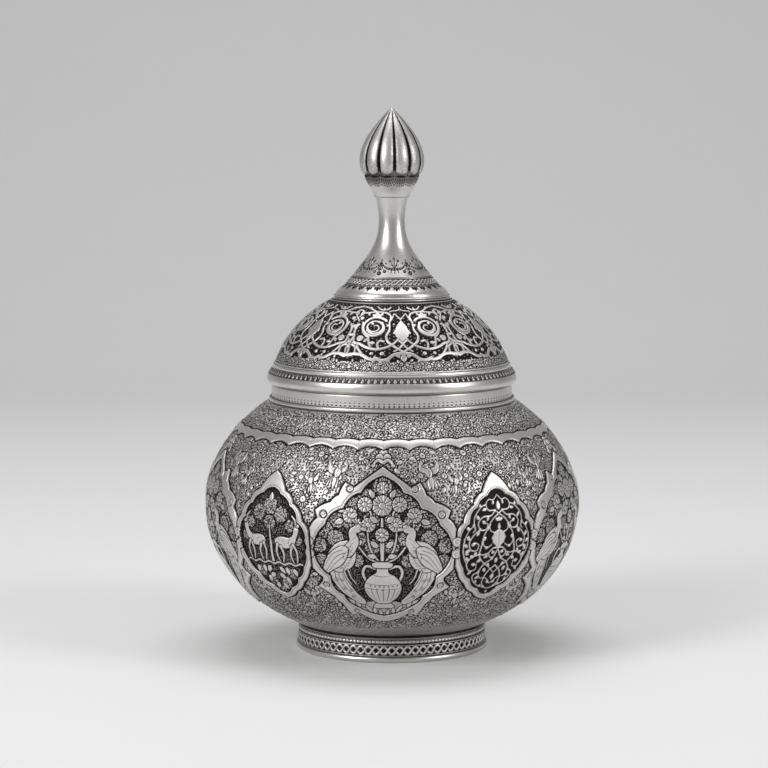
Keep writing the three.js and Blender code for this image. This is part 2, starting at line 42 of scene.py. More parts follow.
# Sizes as in the CAD
FOOT_TOP, FOOT_BAND, FOOT_RIM, FOOT_WALL = 45.0, 45.3, 46.2, 1.8
FOOT_BORE, FOOT_WIRE_Z = 43.4, 3.0
GIRTH_Z, BOWL_R, BOWL_TOP, BELLY_Z = 69.0, 89.5, 119.2, 12.4
SHOULDER_R, COLLAR_R, COLLAR_BORE, COLLAR_TOP = 59.3, 57.5, 56.0, 127.2
LID_Z, RIM_R, RIM_TOP, DOME_Z, DOME_TOP = 127.4, 57.35, 135.0, 137.3, 167.9
BEZEL_R, BEZEL_BORE, BEZEL_Z = 55.5, 54.2, 119.4
STEM_Z, SKIRT_Z, NECK_Z, CALYX_Z, BUD_Z, BUD_TOP = 169.8, 174.3, 205.4, 215.7, 226.3, 257.6
FOOT_JOIN, SHOULDER_JOIN = FOOT_TOP - 0.1, SHOULDER_R - 0.1
TURN = -2.8                       # degrees from the front to the middle of a large frame
BUD_TURN = -9.7                   # degrees from the front to the middle of a lobe of the bud
GIRTH_S = 76.6                    # length up the bowl's curve from the foot to the girth
AWAY = 9                          # a distance at which nothing is drawn


def half_height(half_width, radius, rise):
    """Half height of an ellipse that has the given radius at the given rise."""
    return rise / math.sqrt(1 - (radius / half_width) ** 2)


LOWER = half_height(BOWL_R, FOOT_JOIN, GIRTH_Z - BELLY_Z)
UPPER = half_height(BOWL_R, SHOULDER_JOIN, BOWL_TOP - GIRTH_Z)


# Curves
def smooth(t):
    t = np.clip(t, 0, 1)
    return t * t * (3 - 2 * t)


def bezier(a, b, c, d, n):
    t = np.linspace(0, 1, n)[:, None]
    a, b, c, d = map(np.array, (a, b, c, d))
    return a * (1 - t) ** 3 + 3 * b * t * (1 - t) ** 2 + 3 * c * t * t * (1 - t) + d * t ** 3


def ellipse(a, b, zc, t0, t1, n):
    t = np.linspace(t0, t1, n)
    return np.stack([a * np.cos(t), zc + b * np.sin(t)], 1)


def chain(*runs):
    return np.concatenate([np.atleast_2d(np.array(r, float)) for r in runs])


def spiral(cx, cy, r0, r1, start, turns, n):
    t = np.linspace(0, 1, n)
    angle = start + turns * 2 * np.pi * t
    r = r0 + (r1 - r0) * t
    return np.stack([cx + r * np.sin(angle), cy + r * np.cos(angle)], 1)


def curve(pts, n=5, closed=False):
    """Smooth curve through points."""
    p = np.asarray(pts, float)
    m = len(p)
    out = []
    for i in range(m if closed else m - 1):
        if closed:
            a, b, c, d = p[i - 1], p[i], p[(i + 1) % m], p[(i + 2) % m]
        else:
            a, b, c, d = p[max(i - 1, 0)], p[i], p[i + 1], p[min(i + 2, m - 1)]
        for t in np.arange(n) / n:
            out.append(0.5 * (2 * b + (c - a) * t + (2 * a - 5 * b + 4 * c - d) * t * t
                              + (3 * b - a - 3 * c + d) * t ** 3))
    if not closed:
        out.append(p[-1])
    return np.array(out)


def both_sides(half):
    """Closed outline from its half on the right, whose ends lie on the middle line."""
    half = np.array(half, float)
    return np.concatenate([half, (half[1:-1] * (-1, 1))[::-1]])


def outline(half, n=6):
    """Frame outline: a pair is a straight edge to that point, four numbers bend past the first pair."""
    pts = [half[0]]
    for row in half[1:]:
        if len(row) == 2:
            pts.append(row)
        else:
            a, c, b = np.array(pts[-1]), np.array(row[:2]), np.array(row[2:])
            for t in np.linspace(0, 1, n)[1:]:
                pts.append(tuple(a * (1 - t) ** 2 + 2 * c * t * (1 - t) + b * t * t))
    return both_sides(pts)


def resample(points, count=None, step=None):
    """Evenly spaced points along a line, with the length up to each."""
    gap = np.hypot(*np.diff(points, axis=0).T)
    points = points[np.concatenate([[True], gap > 1e-6])]
    s = np.concatenate([[0], np.cumsum(np.hypot(*np.diff(points, axis=0).T))])
    t = np.linspace(0, s[-1], count or max(2, int(s[-1] / step) + 1))
    return np.stack([np.interp(t, s, points[:, 0]), np.interp(t, s, points[:, 1])], 1), t


# Signed distances in mm, negative inside the shape
def nearest(x, y, pts, n_gaps):
    """For each gap between points: squared distance, share of the way along it, and its ends."""
    for k in range(n_gaps):
        (ax, ay), (bx, by) = pts[k], pts[(k + 1) % len(pts)]
        ex, ey = bx - ax, by - ay
        wx, wy = x - ax, y - ay
        h = np.clip((wx * ex + wy * ey) / (ex * ex + ey * ey + 1e-12), 0, 1)
        yield wx - ex * h, wy - ey * h, h, (ax, ay), (ex, ey)


def polygon(x, y, pts):
    pts = np.asarray(pts, float)
    best = np.full(x.shape, 1e9)
    inside = np.zeros(x.shape, bool)
    for dx, dy, _, (ax, ay), (ex, ey) in nearest(x, y, pts, len(pts)):
        best = np.minimum(best, dx ** 2 + dy ** 2)
        cross = (ay > y) != (ay + ey > y)
        inside ^= cross & (x < ax + (y - ay) * ex / (ey if abs(ey) > 1e-12 else 1e-12))
    return np.where(inside, -1, 1) * np.sqrt(best)


def stroke(x, y, pts, w0, w1=None, mid=None):
    """Stroke along points; half-width goes from w0 to w1, by way of mid."""
    pts = np.asarray(pts, float)
    w1 = w0 if w1 is None else w1
    n = len(pts) - 1
    best = np.full(x.shape, 1e9)
    for k, (dx, dy, h, _, _) in enumerate(nearest(x, y, pts, n)):
        t = (k + h) / n
        w = w0 + (w1 - w0) * t
        if mid is not None:
            w = w + (mid - (w0 + w1) / 2) * 4 * t * (1 - t)
        best = np.minimum(best, np.hypot(dx, dy) - w)
    return best


def petals(x, y, r, n, turn, depth):
    rad, a = np.hypot(x, y), np.arctan2(x, y) + turn
    return rad - r * (1 - depth + depth * np.abs(np.cos(a * n / 2)) ** 0.7)


def leaf(x, y, length, width, turn):
    """Pointed leaf from the origin towards +y, turned by the angle."""
    c, s = math.cos(turn), math.sin(turn)
    u, v = x * c - y * s, x * s + y * c
    half = width * np.sin(np.pi * np.clip(v / length, 0, 1) ** 0.8) ** 0.8
    return np.maximum(np.abs(u) - half, np.maximum(-v, v - length))


def disc(x, y, cx, cy, r):
    return np.hypot(x - cx, y - cy) - r


def union(shapes):
    field = 99.0
    for shape in shapes:
        field = np.minimum(field, shape)
    return field


def leaves(x, y, rows):
    """Leaves; a row has the place that it springs from, its length, half width and turn."""
    return union(leaf(x - lx, y - ly, length, width, turn) for lx, ly, length, width, turn in rows)


def discs(x, y, rows):
    return union(disc(x, y, cx, cy, r) for cx, cy, r in rows)


def blur(a, n_rows, n_cols):
    for _ in range(2):
        pad = np.concatenate([a[:, -n_cols:], a, a[:, :n_cols]], 1)
        c = np.cumsum(np.pad(pad, ((0, 0), (1, 0))), 1)
        a = (c[:, 2 * n_cols + 1:] - c[:, :-2 * n_cols - 1]) / (2 * n_cols + 1)
        pad = np.pad(a, ((n_rows, n_rows), (0, 0)), mode="edge")
        c = np.cumsum(np.pad(pad, ((1, 0), (0, 0))), 0)
        a = (c[2 * n_rows + 1:] - c[:-2 * n_rows - 1]) / (2 * n_rows + 1)
    return a


class Canvas:
    """Turned silver as the chaser has it: height in mm, patina and painted shade (0 bright to 1 black) and
    pebbled ground.
    """

    def __init__(self, profile, n_turn, step=None, count=None):
        self.p, self.s = resample(np.asarray(profile, float), count, step)
        self.n, self.step = n_turn, 360.0 / n_turn
        self.phi = -180 + self.step * np.arange(n_turn)
        shape = (len(self.s), n_turn)
        self.h, self.dark, self.matt = (np.zeros(shape) for _ in range(3))

    def close(self):
        """Drops the last row of a closed profile, which lies on the first."""
        for key in ("p", "s", "h", "dark", "matt"):
            setattr(self, key, getattr(self, key)[:-1])

    def grids(self):
        """Every point's length along the profile, turn in degrees, radius and height."""
        s, phi = np.meshgrid(self.s, self.phi, indexing="ij")
        return s, phi, self.p[:, :1] + 0 * s, self.p[:, 1:] + 0 * s

    def everywhere(self):
        return np.ix_(np.arange(len(self.s)), np.arange(self.n))

    def patch(self, turn, along, half_w, half_h=None):
        """Points round a place, with their distances to the side of it and up from it."""
        half_h = half_w if half_h is None else half_h
        r0 = np.interp(along, self.s, self.p[:, 0])
        rows = np.nonzero(np.abs(self.s - along) <= half_h)[0]
        lo = int(math.floor((turn - math.degrees(half_w / r0) + 180) / self.step))
        hi = int(math.ceil((turn + math.degrees(half_w / r0) + 180) / self.step))
        cols = np.arange(lo, hi + 1)
        x = np.radians(-180 + cols * self.step - turn) * r0
        xx, yy = np.meshgrid(x, self.s[rows] - along)
        return np.ix_(rows, cols % self.n), xx, yy

    def relief(self, at, sd, lift, soft=0.5, dark=0.08, line=0.45, matt=0.0, ink=0.95, pillow=0.0):
        """Raises a shape over what lies there, with a dark line chased round it."""
        w = smooth(-sd / soft + 0.3)
        top = lift
        if pillow:
            t = np.clip(-sd / pillow, 0, 1)
            top = lift * (0.35 + 0.65 * np.sqrt(1 - (1 - t) ** 2))
        h, d, m = self.h[at], self.dark[at], self.matt[at]
        edge = (sd > 0) * smooth(1.7 * (1 - sd / line)) if line else 0
        h = np.minimum(h, h * (1 - edge) + GROUND * edge) if line else h
        self.h[at] = h * (1 - w) + top * w
        self.dark[at] = np.maximum(d, ink * edge) * (1 - w) + dark * w
        self.matt[at] = m * (1 - w) + matt * w

    def cut(self, at, sd, depth, soft=0.25, ink=0.9):
        """Engraves a shape."""
        w = smooth(-sd / soft + 0.5)
        self.h[at] -= depth * w
        self.dark[at] = np.maximum(self.dark[at], ink * w)

    def stamp(self, source, targets, mask):
        """Copies a patch to other places that lie a whole number of columns away."""
        for target in targets:
            for layer in (self.h, self.dark, self.matt):
                layer[target] = np.where(mask, layer[source], layer[target])

    def dots(self, low, high, pitch, radius, depth=0.12, stray=0.28):
        """Small black dots from a punch, in uneven rows over a stretch of the profile."""
        gap = self.s[1] - self.s[0]
        for i, along in enumerate(np.arange(low, high, pitch * 0.87)):
            r0 = np.interp(along, self.s, self.p[:, 0])
            n = int(2 * np.pi * r0 / pitch)
            turn = (np.arange(n) + 0.5 * (i % 2) + DOT_RNG.uniform(-stray, stray, n)) * 360 / n
            here = along + DOT_RNG.uniform(-stray, stray, n) * pitch
            row, col = np.rint(here / gap).astype(int), np.rint(turn / self.step).astype(int)
            base = self.h[np.clip(row, 0, len(self.s) - 1), col % self.n]
            for dr in range(-2, 3):
                for dc in range(-4, 5):
                    rows = np.clip(row + dr, 0, len(self.s) - 1)
                    x = np.radians((col + dc) * self.step - turn) * r0
                    w = smooth((radius - np.hypot(x, self.s[rows] - here)) / 0.3 + 0.5)
                    at = rows, (col + dc) % self.n
                    np.maximum.at(self.dark, at, w)
                    np.minimum.at(self.h, at, base - depth * w)

    def age(self, near, far, gain):
        """Oxide stays in the hollows, and handling rubs the high places bright."""
        hollow = (blur(self.h, near, near) - self.h) * gain + (blur(self.h, far, far) - self.h) * gain * 0.5
        self.dark = np.clip(self.dark + np.clip(hollow, -0.25, 0.7), 0, 1)


# Meshes
def points_of(work):
    """Points of a canvas, with its height along the profile's normal."""
    tang = np.gradient(work.p, axis=0)
    tang /= np.maximum(np.hypot(*tang.T), 1e-9)[:, None]
    r = work.p[:, :1] + work.h * tang[:, 1:]
    z = work.p[:, 1:] - work.h * tang[:, :1]
    phi = np.radians(work.phi)
    return np.stack([r * np.sin(phi), -r * np.cos(phi), z], 2)


def normals_of(pts, loop=False):
    du = np.roll(pts, -1, 1) - np.roll(pts, 1, 1)
    dv = np.roll(pts, -1, 0) - np.roll(pts, 1, 0) if loop else np.gradient(pts, axis=0)
    n = np.cross(du, dv)
    return n / np.maximum(np.linalg.norm(n, axis=2, keepdims=True), 1e-12)


def grid_object(name, pts, node, body, material, values, normals, wrap=True, loop=False):
    """Mesh of rows round the axis. Wrap closes it round, and loop joins its last row to its first."""
    rows, cols = pts.shape[:2]
    n_rows, n_cols = rows if loop else rows - 1, cols if wrap else cols - 1
    r, c = np.meshgrid(np.arange(n_rows), np.arange(n_cols), indexing="ij")
    r2, c2 = (r + 1) % rows, (c + 1) % cols
    quads = np.stack([r * cols + c, r * cols + c2, r2 * cols + c2, r2 * cols + c], 2).reshape(-1, 4)
    mesh = bpy.data.meshes.new(name)
    mesh.vertices.add(rows * cols)
    mesh.vertices.foreach_set("co", (pts.reshape(-1) / 1000).astype(np.float32))
    mesh.loops.add(quads.size)
    mesh.loops.foreach_set("vertex_index", quads.reshape(-1).astype(np.int32))
    mesh.polygons.add(len(quads))
    mesh.polygons.foreach_set("loop_start", np.arange(0, quads.size, 4, dtype=np.int32))
    mesh.polygons.foreach_set("loop_total", np.full(len(quads), 4, np.int32))
    mesh.update(calc_edges=True)
    mesh.validate()
    mesh.shade_smooth()
    corners = [np.stack([c + i, r + j], 2) for i, j in ((0, 0), (1, 0), (1, 1), (0, 1))]
    uv = np.stack(corners, 2).reshape(-1, 2) / (cols, rows) * 0.98 + 0.01
    mesh.uv_layers.new(name="OFBake").data.foreach_set("uv", uv.reshape(-1).astype(np.float32))
    for key, value in values.items():
        layer = mesh.attributes.new(key, "FLOAT", "POINT")
        layer.data.foreach_set("value", value.reshape(-1).astype(np.float32))
    mesh.normals_split_custom_set_from_vertices(normals.reshape(-1, 3))
    obj = bpy.data.objects.new(name, mesh)
    bpy.context.scene.collection.objects.link(obj)
    mesh.materials.append(material)
    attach(obj, body)
    if node:
        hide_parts(node)


def canvas_object(name, work, node, body, material, parts=1, loop=False):
    """Mesh of a canvas, in so many sectors, of which the first stands for the CAD node."""
    pts = points_of(work)
    normals = normals_of(pts, loop)
    # darkness holds oxide and painted shade alike
    values = {"patina_and_shade": np.clip(work.dark, 0, 1), "matting": np.clip(work.matt, 0, 1)}
    if parts == 1:
        grid_object(name, pts, node, body, material, values, normals, True, loop)
        return
    for k in range(parts):
        cols = np.arange(k * work.n // parts, (k + 1) * work.n // parts + 1) % work.n
        sector = {key: v[:, cols] for key, v in values.items()}
        grid_object(f"{name}_{k + 1}", pts[:, cols], node if k == 0 else None, body, material, sector,
                    normals[:, cols], False, loop)


def plain_ring(name, profile, n_turn, node, body, material, step, loop=True, creases=(), width=1.0):
    """Turned piece of a profile, with painted shade and oxide gathered round creases given as radius and
    height.
    """
    profile = np.asarray(profile, float)
    if loop:
        profile = np.concatenate([profile, profile[:1]])
    work = Canvas(profile, n_turn, step)
    if loop:
        work.close()
    # painted shade, with oxide, darkens the creases where parts meet
    for r, z in creases:
        away = np.hypot(work.p[:, :1] - r, work.p[:, 1:] - z)
        work.dark = np.maximum(work.dark, 0.9 * smooth(1 - away / width))
    canvas_object(name, work, node, body, material, loop=loop)


def half_round(bore, foot, width, height, flat, n=16):
    """Section of a half-round wire from its bore outwards."""
    a = np.linspace(-np.pi / 2, np.pi / 2, n)
    arc = np.stack([bore + flat + (width - flat) * np.cos(a), foot + height / 2 * (1 + np.sin(a))], 1)
    return chain([(bore, foot)], arc, [(bore, foot + height)])


# Materials
class Nodes:
    """A material's node tree, with short ways to fill it."""

    def __init__(self, name):
        self.mat = bpy.data.materials.new(name)
        self.mat.use_nodes = True
        self.tree = self.mat.node_tree
        self.bsdf = self.tree.nodes["Principled BSDF"]
        self.coord = self.add("ShaderNodeTexCoord").outputs["Object"]

    def add(self, kind, **props):
        node = self.tree.nodes.new(kind)
        for key, value in props.items():
            if hasattr(node, key):
                setattr(node, key, value)
            else:
                node.inputs[key.replace("_", " ")].default_value = value
        return node

    def put(self, socket, value):
        """Sets a socket to a number or colour, or links an output to it."""
        if isinstance(value, tuple):
            socket.default_value = (*value, 1)
        elif isinstance(value, (int, float)):
            socket.default_value = value
        else:
            self.tree.links.new(value, socket)

    def set(self, socket, value):
        self.put(self.bsdf.inputs[socket], value)

    def math(self, op, a, b, clamp=False):
        node = self.add("ShaderNodeMath", operation=op, use_clamp=clamp)
        self.put(node.inputs[0], a)
        self.put(node.inputs[1], b)
        return node.outputs[0]

    def noise(self, coord, scale, detail=3.0, rough=0.55):
        node = self.add("ShaderNodeTexNoise", Scale=scale, Detail=detail, Roughness=rough)
        self.put(node.inputs["Vector"], coord)
        return node.outputs[0]

    def lines(self, across, up):
        """Fine turning lines that run round the axis."""
        node = self.add("ShaderNodeMapping")
        node.inputs["Scale"].default_value = (across, across, up)
        self.put(node.inputs["Vector"], self.coord)
        return self.noise(node.outputs[0], 1, 2)

    def ramp(self, value, low, high, out_low=0.0, out_high=1.0):
        node = self.add("ShaderNodeMapRange")
        node.interpolation_type = "SMOOTHSTEP"
        for key, v in zip(("From Min", "From Max", "To Min", "To Max"), (low, high, out_low, out_high)):
            node.inputs[key].default_value = v
        self.put(node.inputs["Value"], value)
        return node.outputs[0]

    def mix(self, fac, a, b):
        node = self.add("ShaderNodeMix", data_type="RGBA")
        for index, value in ((0, fac), (6, a), (7, b)):
            self.put(node.inputs[index], value)
        return node.outputs[2]

    def bump(self, height, strength, distance):
        node = self.add("ShaderNodeBump", Strength=strength, Distance=distance)
        self.put(node.inputs["Height"], height)
        self.set("Normal", node.outputs[0])


# the dark colour serves oxide and painted shade alike
BRIGHT, OXIDE_AND_SHADE = (0.66, 0.65, 0.62), (0.018, 0.017, 0.016)


def silver(name, rough, worked=True, stipple=1500.0, cloud=0.10, turned=0.0, base_dark=0.0, mottle=0.16):
    """Silver with oxide and painted shade where its darkness attribute says, and pebbled ground where it is
    matted.
    """
    k = Nodes(name)
    clouds = k.noise(k.coord, 70, 4)
    fine = k.noise(k.coord, 900, 3)
    patina_and_shade = k.add("ShaderNodeAttribute", attribute_name="patina_and_shade").outputs["Fac"] if worked else base_dark
    matting = k.add("ShaderNodeAttribute", attribute_name="matting").outputs["Fac"] if worked else 0.0
    # pebbles a little over half a millimetre across, with dark seams
    pebbles = k.add("ShaderNodeTexVoronoi", Scale=stipple)
    k.put(pebbles.inputs["Vector"], k.coord)
    seams = k.math("MULTIPLY", k.ramp(pebbles.outputs["Distance"], 0.3, 0.62), matting)
    tarnish = k.math("MULTIPLY", k.ramp(clouds, 0.35, 0.7), cloud)
    shade = k.math("ADD", k.math("ADD", patina_and_shade, tarnish), k.math("MULTIPLY", seams, 0.75))
    shade = k.math("ADD", shade, k.math("MULTIPLY", k.math("SUBTRACT", fine, 0.5), mottle), True)
    k.set("Base Color", k.mix(shade, BRIGHT, OXIDE_AND_SHADE))
    k.set("Metallic", 1.0)
    blunt = k.math("ADD", k.math("MULTIPLY", shade, 0.22), k.math("MULTIPLY", matting, 0.16))
    blunt = k.math("ADD", blunt, k.math("MULTIPLY", fine, 0.16))
    k.set("Roughness", k.math("ADD", blunt, rough - 0.08, True))
    height = k.math("SUBTRACT", k.math("MULTIPLY", fine, 0.25), seams)
    if turned:
        height = k.math("ADD", height, k.math("MULTIPLY", k.lines(40, 6000), turned))
    k.bump(height, 0.35, 0.00012)
    return k.mat


CHASED = silver("chased_silver_finish", 0.38)
STRAP = silver("strapwork_silver_finish", 0.38, stipple=1100.0)
POLISHED = silver("polished_silver_finish", 0.3, turned=0.5)
PLAIN = silver("plain_silver_finish", 0.36, worked=False, turned=0.8, cloud=0.2, base_dark=0.12)
BRUSHED = silver("brushed_bud_finish", 0.38, cloud=0.22, mottle=0.75)


def brass():
    """Turned brass, in patches of two tones."""
    k = Nodes("turned_brass_finish")
    clouds, fine = k.noise(k.coord, 120, 4), k.noise(k.coord, 1200, 3)
    k.set("Base Color", k.mix(k.ramp(clouds, 0.35, 0.7), (0.66, 0.52, 0.28), (0.42, 0.31, 0.15)))
    k.set("Metallic", 1.0)
    k.set("Roughness", k.ramp(fine, 0.2, 0.8, 0.26, 0.46))
    k.bump(k.lines(60, 2500), 0.3, 0.0002)
    return k.mat


BRASS = brass()
for node in ("finial_rod", "finial_washer", "finial_nut"):
    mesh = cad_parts[node].data
    mesh.materials.clear()
    mesh.materials.append(BRASS)


# Flowers, leaves and curls that several pieces share
def chase_flower(work, turn, along, r, rays, rot, lift=0.0):
    """Flower of narrow rays round a ringed middle."""
    at, x, y = work.patch(turn, along, r + 0.9)
    rad, a = np.hypot(x, y), np.arctan2(x, y) + rot
    spoke = np.abs(a * rays / (2 * np.pi) % 1 - 0.5)          # half in a seam, nothing on a ray
    work.relief(at, rad - r * (1 - 0.8 * np.maximum(spoke - 0.2, 0)), lift, 0.3, 0.09, 0.65, ink=1.0)
    seam = (0.5 - spoke) * 2 * np.pi * rad / rays - 0.12 - 0.06 * r
    work.cut(at, np.maximum(seam, np.maximum(r * 0.48 - rad, rad - r)), 0.16, 0.2, 1.0)
    work.cut(at, np.abs(rad - r * 0.44) - 0.17, 0.14, 0.2, 1.0)
    work.cut(at, rad - r * 0.13, 0.1, 0.2, 0.9)


def chase_leaf(work, turn, along, length, width, rot, lift):
    at, x, y = work.patch(turn, along, length + 0.6)
    work.relief(at, leaf(x, y, length, width, rot), lift, 0.3, 0.14, 0.55, ink=1.0)


def chase_curl(work, turn, along, r, rot, lift):
    """Spiral tendril with a leaf on its back."""
    at, x, y = work.patch(turn, along, r + 2.6)
    tendril = stroke(x, y, spiral(0, 0, 0.25 * r, r, rot, 0.85, 14), 0.34, 0.2)
    back = leaf(x - r * math.sin(rot), y - r * math.cos(rot), 1.8, 0.6, rot + 0.7)
    work.relief(at, np.minimum(tendril, back), lift, 0.3, 0.08, 0.6, ink=1.0)


def meadow(work, free, low, high, pitch, size):
    """Rayed flowers with leaves and curls between them, wherever there is room."""
    lift, margin = -0.05, 0.5

    def room(turn, along):
        row = int(np.argmin(np.abs(work.s - along)))
        return free[row, int(round((turn + 180) / work.step)) % work.n]

    n_rows = int((high - low) / (pitch * 0.87))
    for i in range(n_rows + 1):
        along = low + (high - low) * i / max(n_rows, 1)
        r0 = np.interp(along, work.s, work.p[:, 0])
        n = int(2 * np.pi * r0 / pitch)
        for j in range(n):
            turn = (j + 0.5 * (i % 2) + RNG.uniform(-0.14, 0.14)) * 360 / n - 180
            here = along + RNG.uniform(-0.12, 0.12) * pitch
            r, rot = size * RNG.uniform(0.75, 1.15), RNG.uniform(0, 6.28)
            gap = room(turn, here)
            for m in range(4):
                a = rot + np.pi * m / 2
                far = r + 0.4 + 0.22 * pitch * (m % 2)
                spot = turn + math.degrees(math.sin(a) * far / r0), here + math.cos(a) * far
                if room(*spot) <= margin:
                    continue
                if m % 2:
                    chase_curl(work, *spot, 0.2 * pitch, a, lift - 0.03)
                else:
                    chase_leaf(work, *spot, 0.34 * pitch, 0.1 * pitch, a + 0.5, lift - 0.03)
            r = min(r, gap - 0.3)
            if r > 0.8:
                chase_flower(work, turn, here, r, int(5 + r * 3), rot, lift)


# Bowl: heights from its mean surface, and zones up its curve from the foot
GROUND, FRAME_TOP, PANEL_TOP = -0.3, 0.46, -0.02
DOT_ZONES = ((14.0, 121.0, 1.6, 0.46), (121.5, 137.0, 1.4, 0.36))       # from, to, pitch, radius
MEADOWS = ((80.0, 112.0, 9.4, 3.1), (21.0, 74.0, 9.0, 3.1))             # from, to, pitch, flower
SHOULDER_S, SCROLL_S, STROKE_S = 121, 129.2, 19
BAND_LOW, BAND_HIGH, BAND_PITCH = 115.3, 120.3, 9.0

# Birds: degrees from the middle of a large frame, length up the curve, facing and size
BIRDS = ((14.5, 103.0, 1, 0.95), (23.0, 98.6, -1, 0.7), (24.5, 41.5, 1, 0.75))

# Half outlines of the frames, from the top point down, from the frame's middle on the girth
LARGE_OUT = [(0, 30), (8.6, 23.8, 13.8, 19.7), (17.9, 22.2), (19.3, 20.5, 20.6, 16.2),
             (22.8, 15.5, 24.3, 12.9), (28.5, 11.9, 31.7, 8.9), (30.3, 5.4), (32.9, 4, 34.7, -0.7),
             (34.4, -9, 34.7, -17.5), (32.2, -21.2, 29.6, -23.2), (29.9, -26.4, 33.4, -28.6),
             (29.3, -31.6, 25.9, -34.4), (25.2, -36.8, 22.6, -39.1), (21.4, -43.5, 19, -48), (14, -46.1),
             (8.5, -52.4, 0, -53.2)]
LARGE_IN = [(0, 25.7), (7.9, 23, 9.9, 17.6), (15.8, 16.6, 17.9, 10.3), (24.6, 8.9, 26.5, 2.5),
            (31.6, -1.6, 32.6, -8.5), (32.2, -18.3, 25.6, -22.4), (26.9, -30.2, 20.6, -33.6),
            (19.8, -38.8, 14.9, -41.6), (7.5, -47.3, 0, -48.5)]
SMALL_OUT = [(0, 25.6), (4.9, 22.5, 7.9, 16.2), (12.2, 14.8, 12.9, 10.9), (17.6, 8.5, 18.5, 3.1),
             (20.8, 1.6, 21.6, -0.7), (21.9, -9, 21.6, -17.5), (19.9, -20.7), (18.6, -25, 15.1, -27.5),
             (13.4, -31.6, 8.8, -33.2), (5.3, -37.6, 0, -38.5)]
SMALL_IN = [(0, 17.6), (3.6, 17.2, 5.1, 14.7), (10.4, 13, 11.2, 9.5), (15.3, 8.3, 15.5, 2.5),
            (20.4, 0.4, 20.2, -8.5), (20.1, -15.5, 17.3, -18.8), (16.3, -23.6, 12.4, -25.2),
            (11.2, -30.2, 6, -31.4), (4, -35.2, 0, -35.7)]

# Bosses on the right of a large frame: place, radius, start of the spiral and the way it winds
BOSSES = ((15.4, 19.2, 1.5, 1.0, 1), (27.4, 7.2, 1.5, 1.0, 1), (28.6, -27.4, 1.4, 1.0, -1),
          (15.6, -44.4, 1.3, 1.0, -1), (34.6, -5.7, 2.3, 2.57, 1), (34.6, -11.1, 2.3, 0.57, -1))


class FrameKind:
    """The five frames of one size: where they lie, and distances from their two outlines."""

    def __init__(self, work, turn, half_width, half_height, outside, inside):
        self.at = [work.patch(turn + 72 * k, GIRTH_S, half_width, half_height)[0] for k in range(5)]
        _, self.x, self.y = work.patch(turn, GIRTH_S, half_width, half_height)
        self.outer = polygon(self.x, self.y, outline(outside))
        self.inner = polygon(self.x, self.y, outline(inside))


def chase_strap(work, at, kind):
    """Clears a frame's panel and raises its polished strap, with a line inside the inner edge."""
    work.h[at] = np.where(kind.inner < 0, GROUND, work.h[at])
    work.dark[at] = np.where(kind.inner < 0, 0.85, work.dark[at])
    work.relief(at, np.maximum(kind.outer, -kind.inner), FRAME_TOP, 0.5, 0.04, 1.2, ink=1.0)
    work.cut(at, np.abs(kind.inner - 0.9) - 0.17, 0.14, 0.2, 0.9)


def chase_bosses(work, at, kind):
    """Round bosses with a spiral line."""
    for side in (1, -1):
        for cx, cy, r, start, way in BOSSES:
            work.relief(at, disc(kind.x, kind.y, cx * side, cy, r), FRAME_TOP, 0.4, 0.02, 0.5, ink=1.0)
            winding = spiral(cx * side, cy, r * 0.15, r * 0.95, start * side, 1.3 * way * side, 20)
            work.cut(at, stroke(kind.x, kind.y, winding, 0.15), 0.16, 0.25, 0.95)


def chase_crown(work, at, kind):
    """Palmette of three tiers over a large frame, with curled arms at its foot."""
    x, y = np.abs(kind.x), kind.y
    arms = stroke(x, y, curve([(0.3, 32.2), (2.4, 33.2), (4.2, 32.3), (4.9, 30.8)]), 0.85, 0.6)
    arms = np.minimum(arms, disc(x, y, 5.0, 30.6, 0.95))
    for tier in (disc(x, y, 0, 36.7, 2.3), disc(x, y, 2.0, 34.5, 2.0), arms):
        work.relief(at, np.maximum(tier, -kind.outer), 0.26, 0.4, 0.03, 0.8, ink=1.0, pillow=1.2)
    work.cut(at, stroke(x, y, spiral(5.0, 30.6, 0.1, 0.7, 0, 1.1, 12), 0.13), 0.1, 0.2, 0.9)


def chase_bird(work, turn, along, side, size):
    """Small bird with lifted wings over a fan of long tail feathers."""
    at, x, y = work.patch(turn, along, 11 * size)
    x, y = x * side / size, y / size
    tail = [leaf(x - 0.5, y + 0.4, 8.2, 0.95, math.pi + lean) for lean in (-0.62, 0.12, -0.38, -0.13)]
    wings = [stroke(x, y, curve(pts), 1.2, 0.4, 1.5)
             for pts in ([(0.6, 1.2), (3.4, 1.8), (5.0, 5.8)], [(-0.6, 1.4), (-3.2, 2.6), (-3.2, 6.6)])]
    body = [leaf(x - 0.3, y + 2.0, 6.0, 1.7, -0.14), disc(x, y, -0.9, 4.0, 1.1),
            leaf(x + 1.7, y - 4.0, 1.6, 0.45, -1.6)]
    for part in tail + wings + body:
        work.relief(at, part * size, 0.0, 0.35, 0.05, 0.5)
    for pts in ([(1.2, 1.0), (3.8, 2.6), (5.0, 5.0)], [(1.0, 1.9), (2.8, 2.9), (4.2, 5.4)],
                [(-1.2, 1.6), (-3.4, 3.4), (-3.6, 6.0)], [(-1.0, 2.4), (-2.4, 3.8), (-2.8, 6.0)],
                [(0.2, -1.4), (0.0, 0.4), (-0.4, 2.4)]):
        work.cut(at, stroke(x, y, curve(pts, 4), 0.13) * size, 0.1, 0.2, 0.95)
    work.cut(at, np.hypot(x + 1.1, y - 4.2) * size - 0.2, 0.1, 0.2, 0.95)


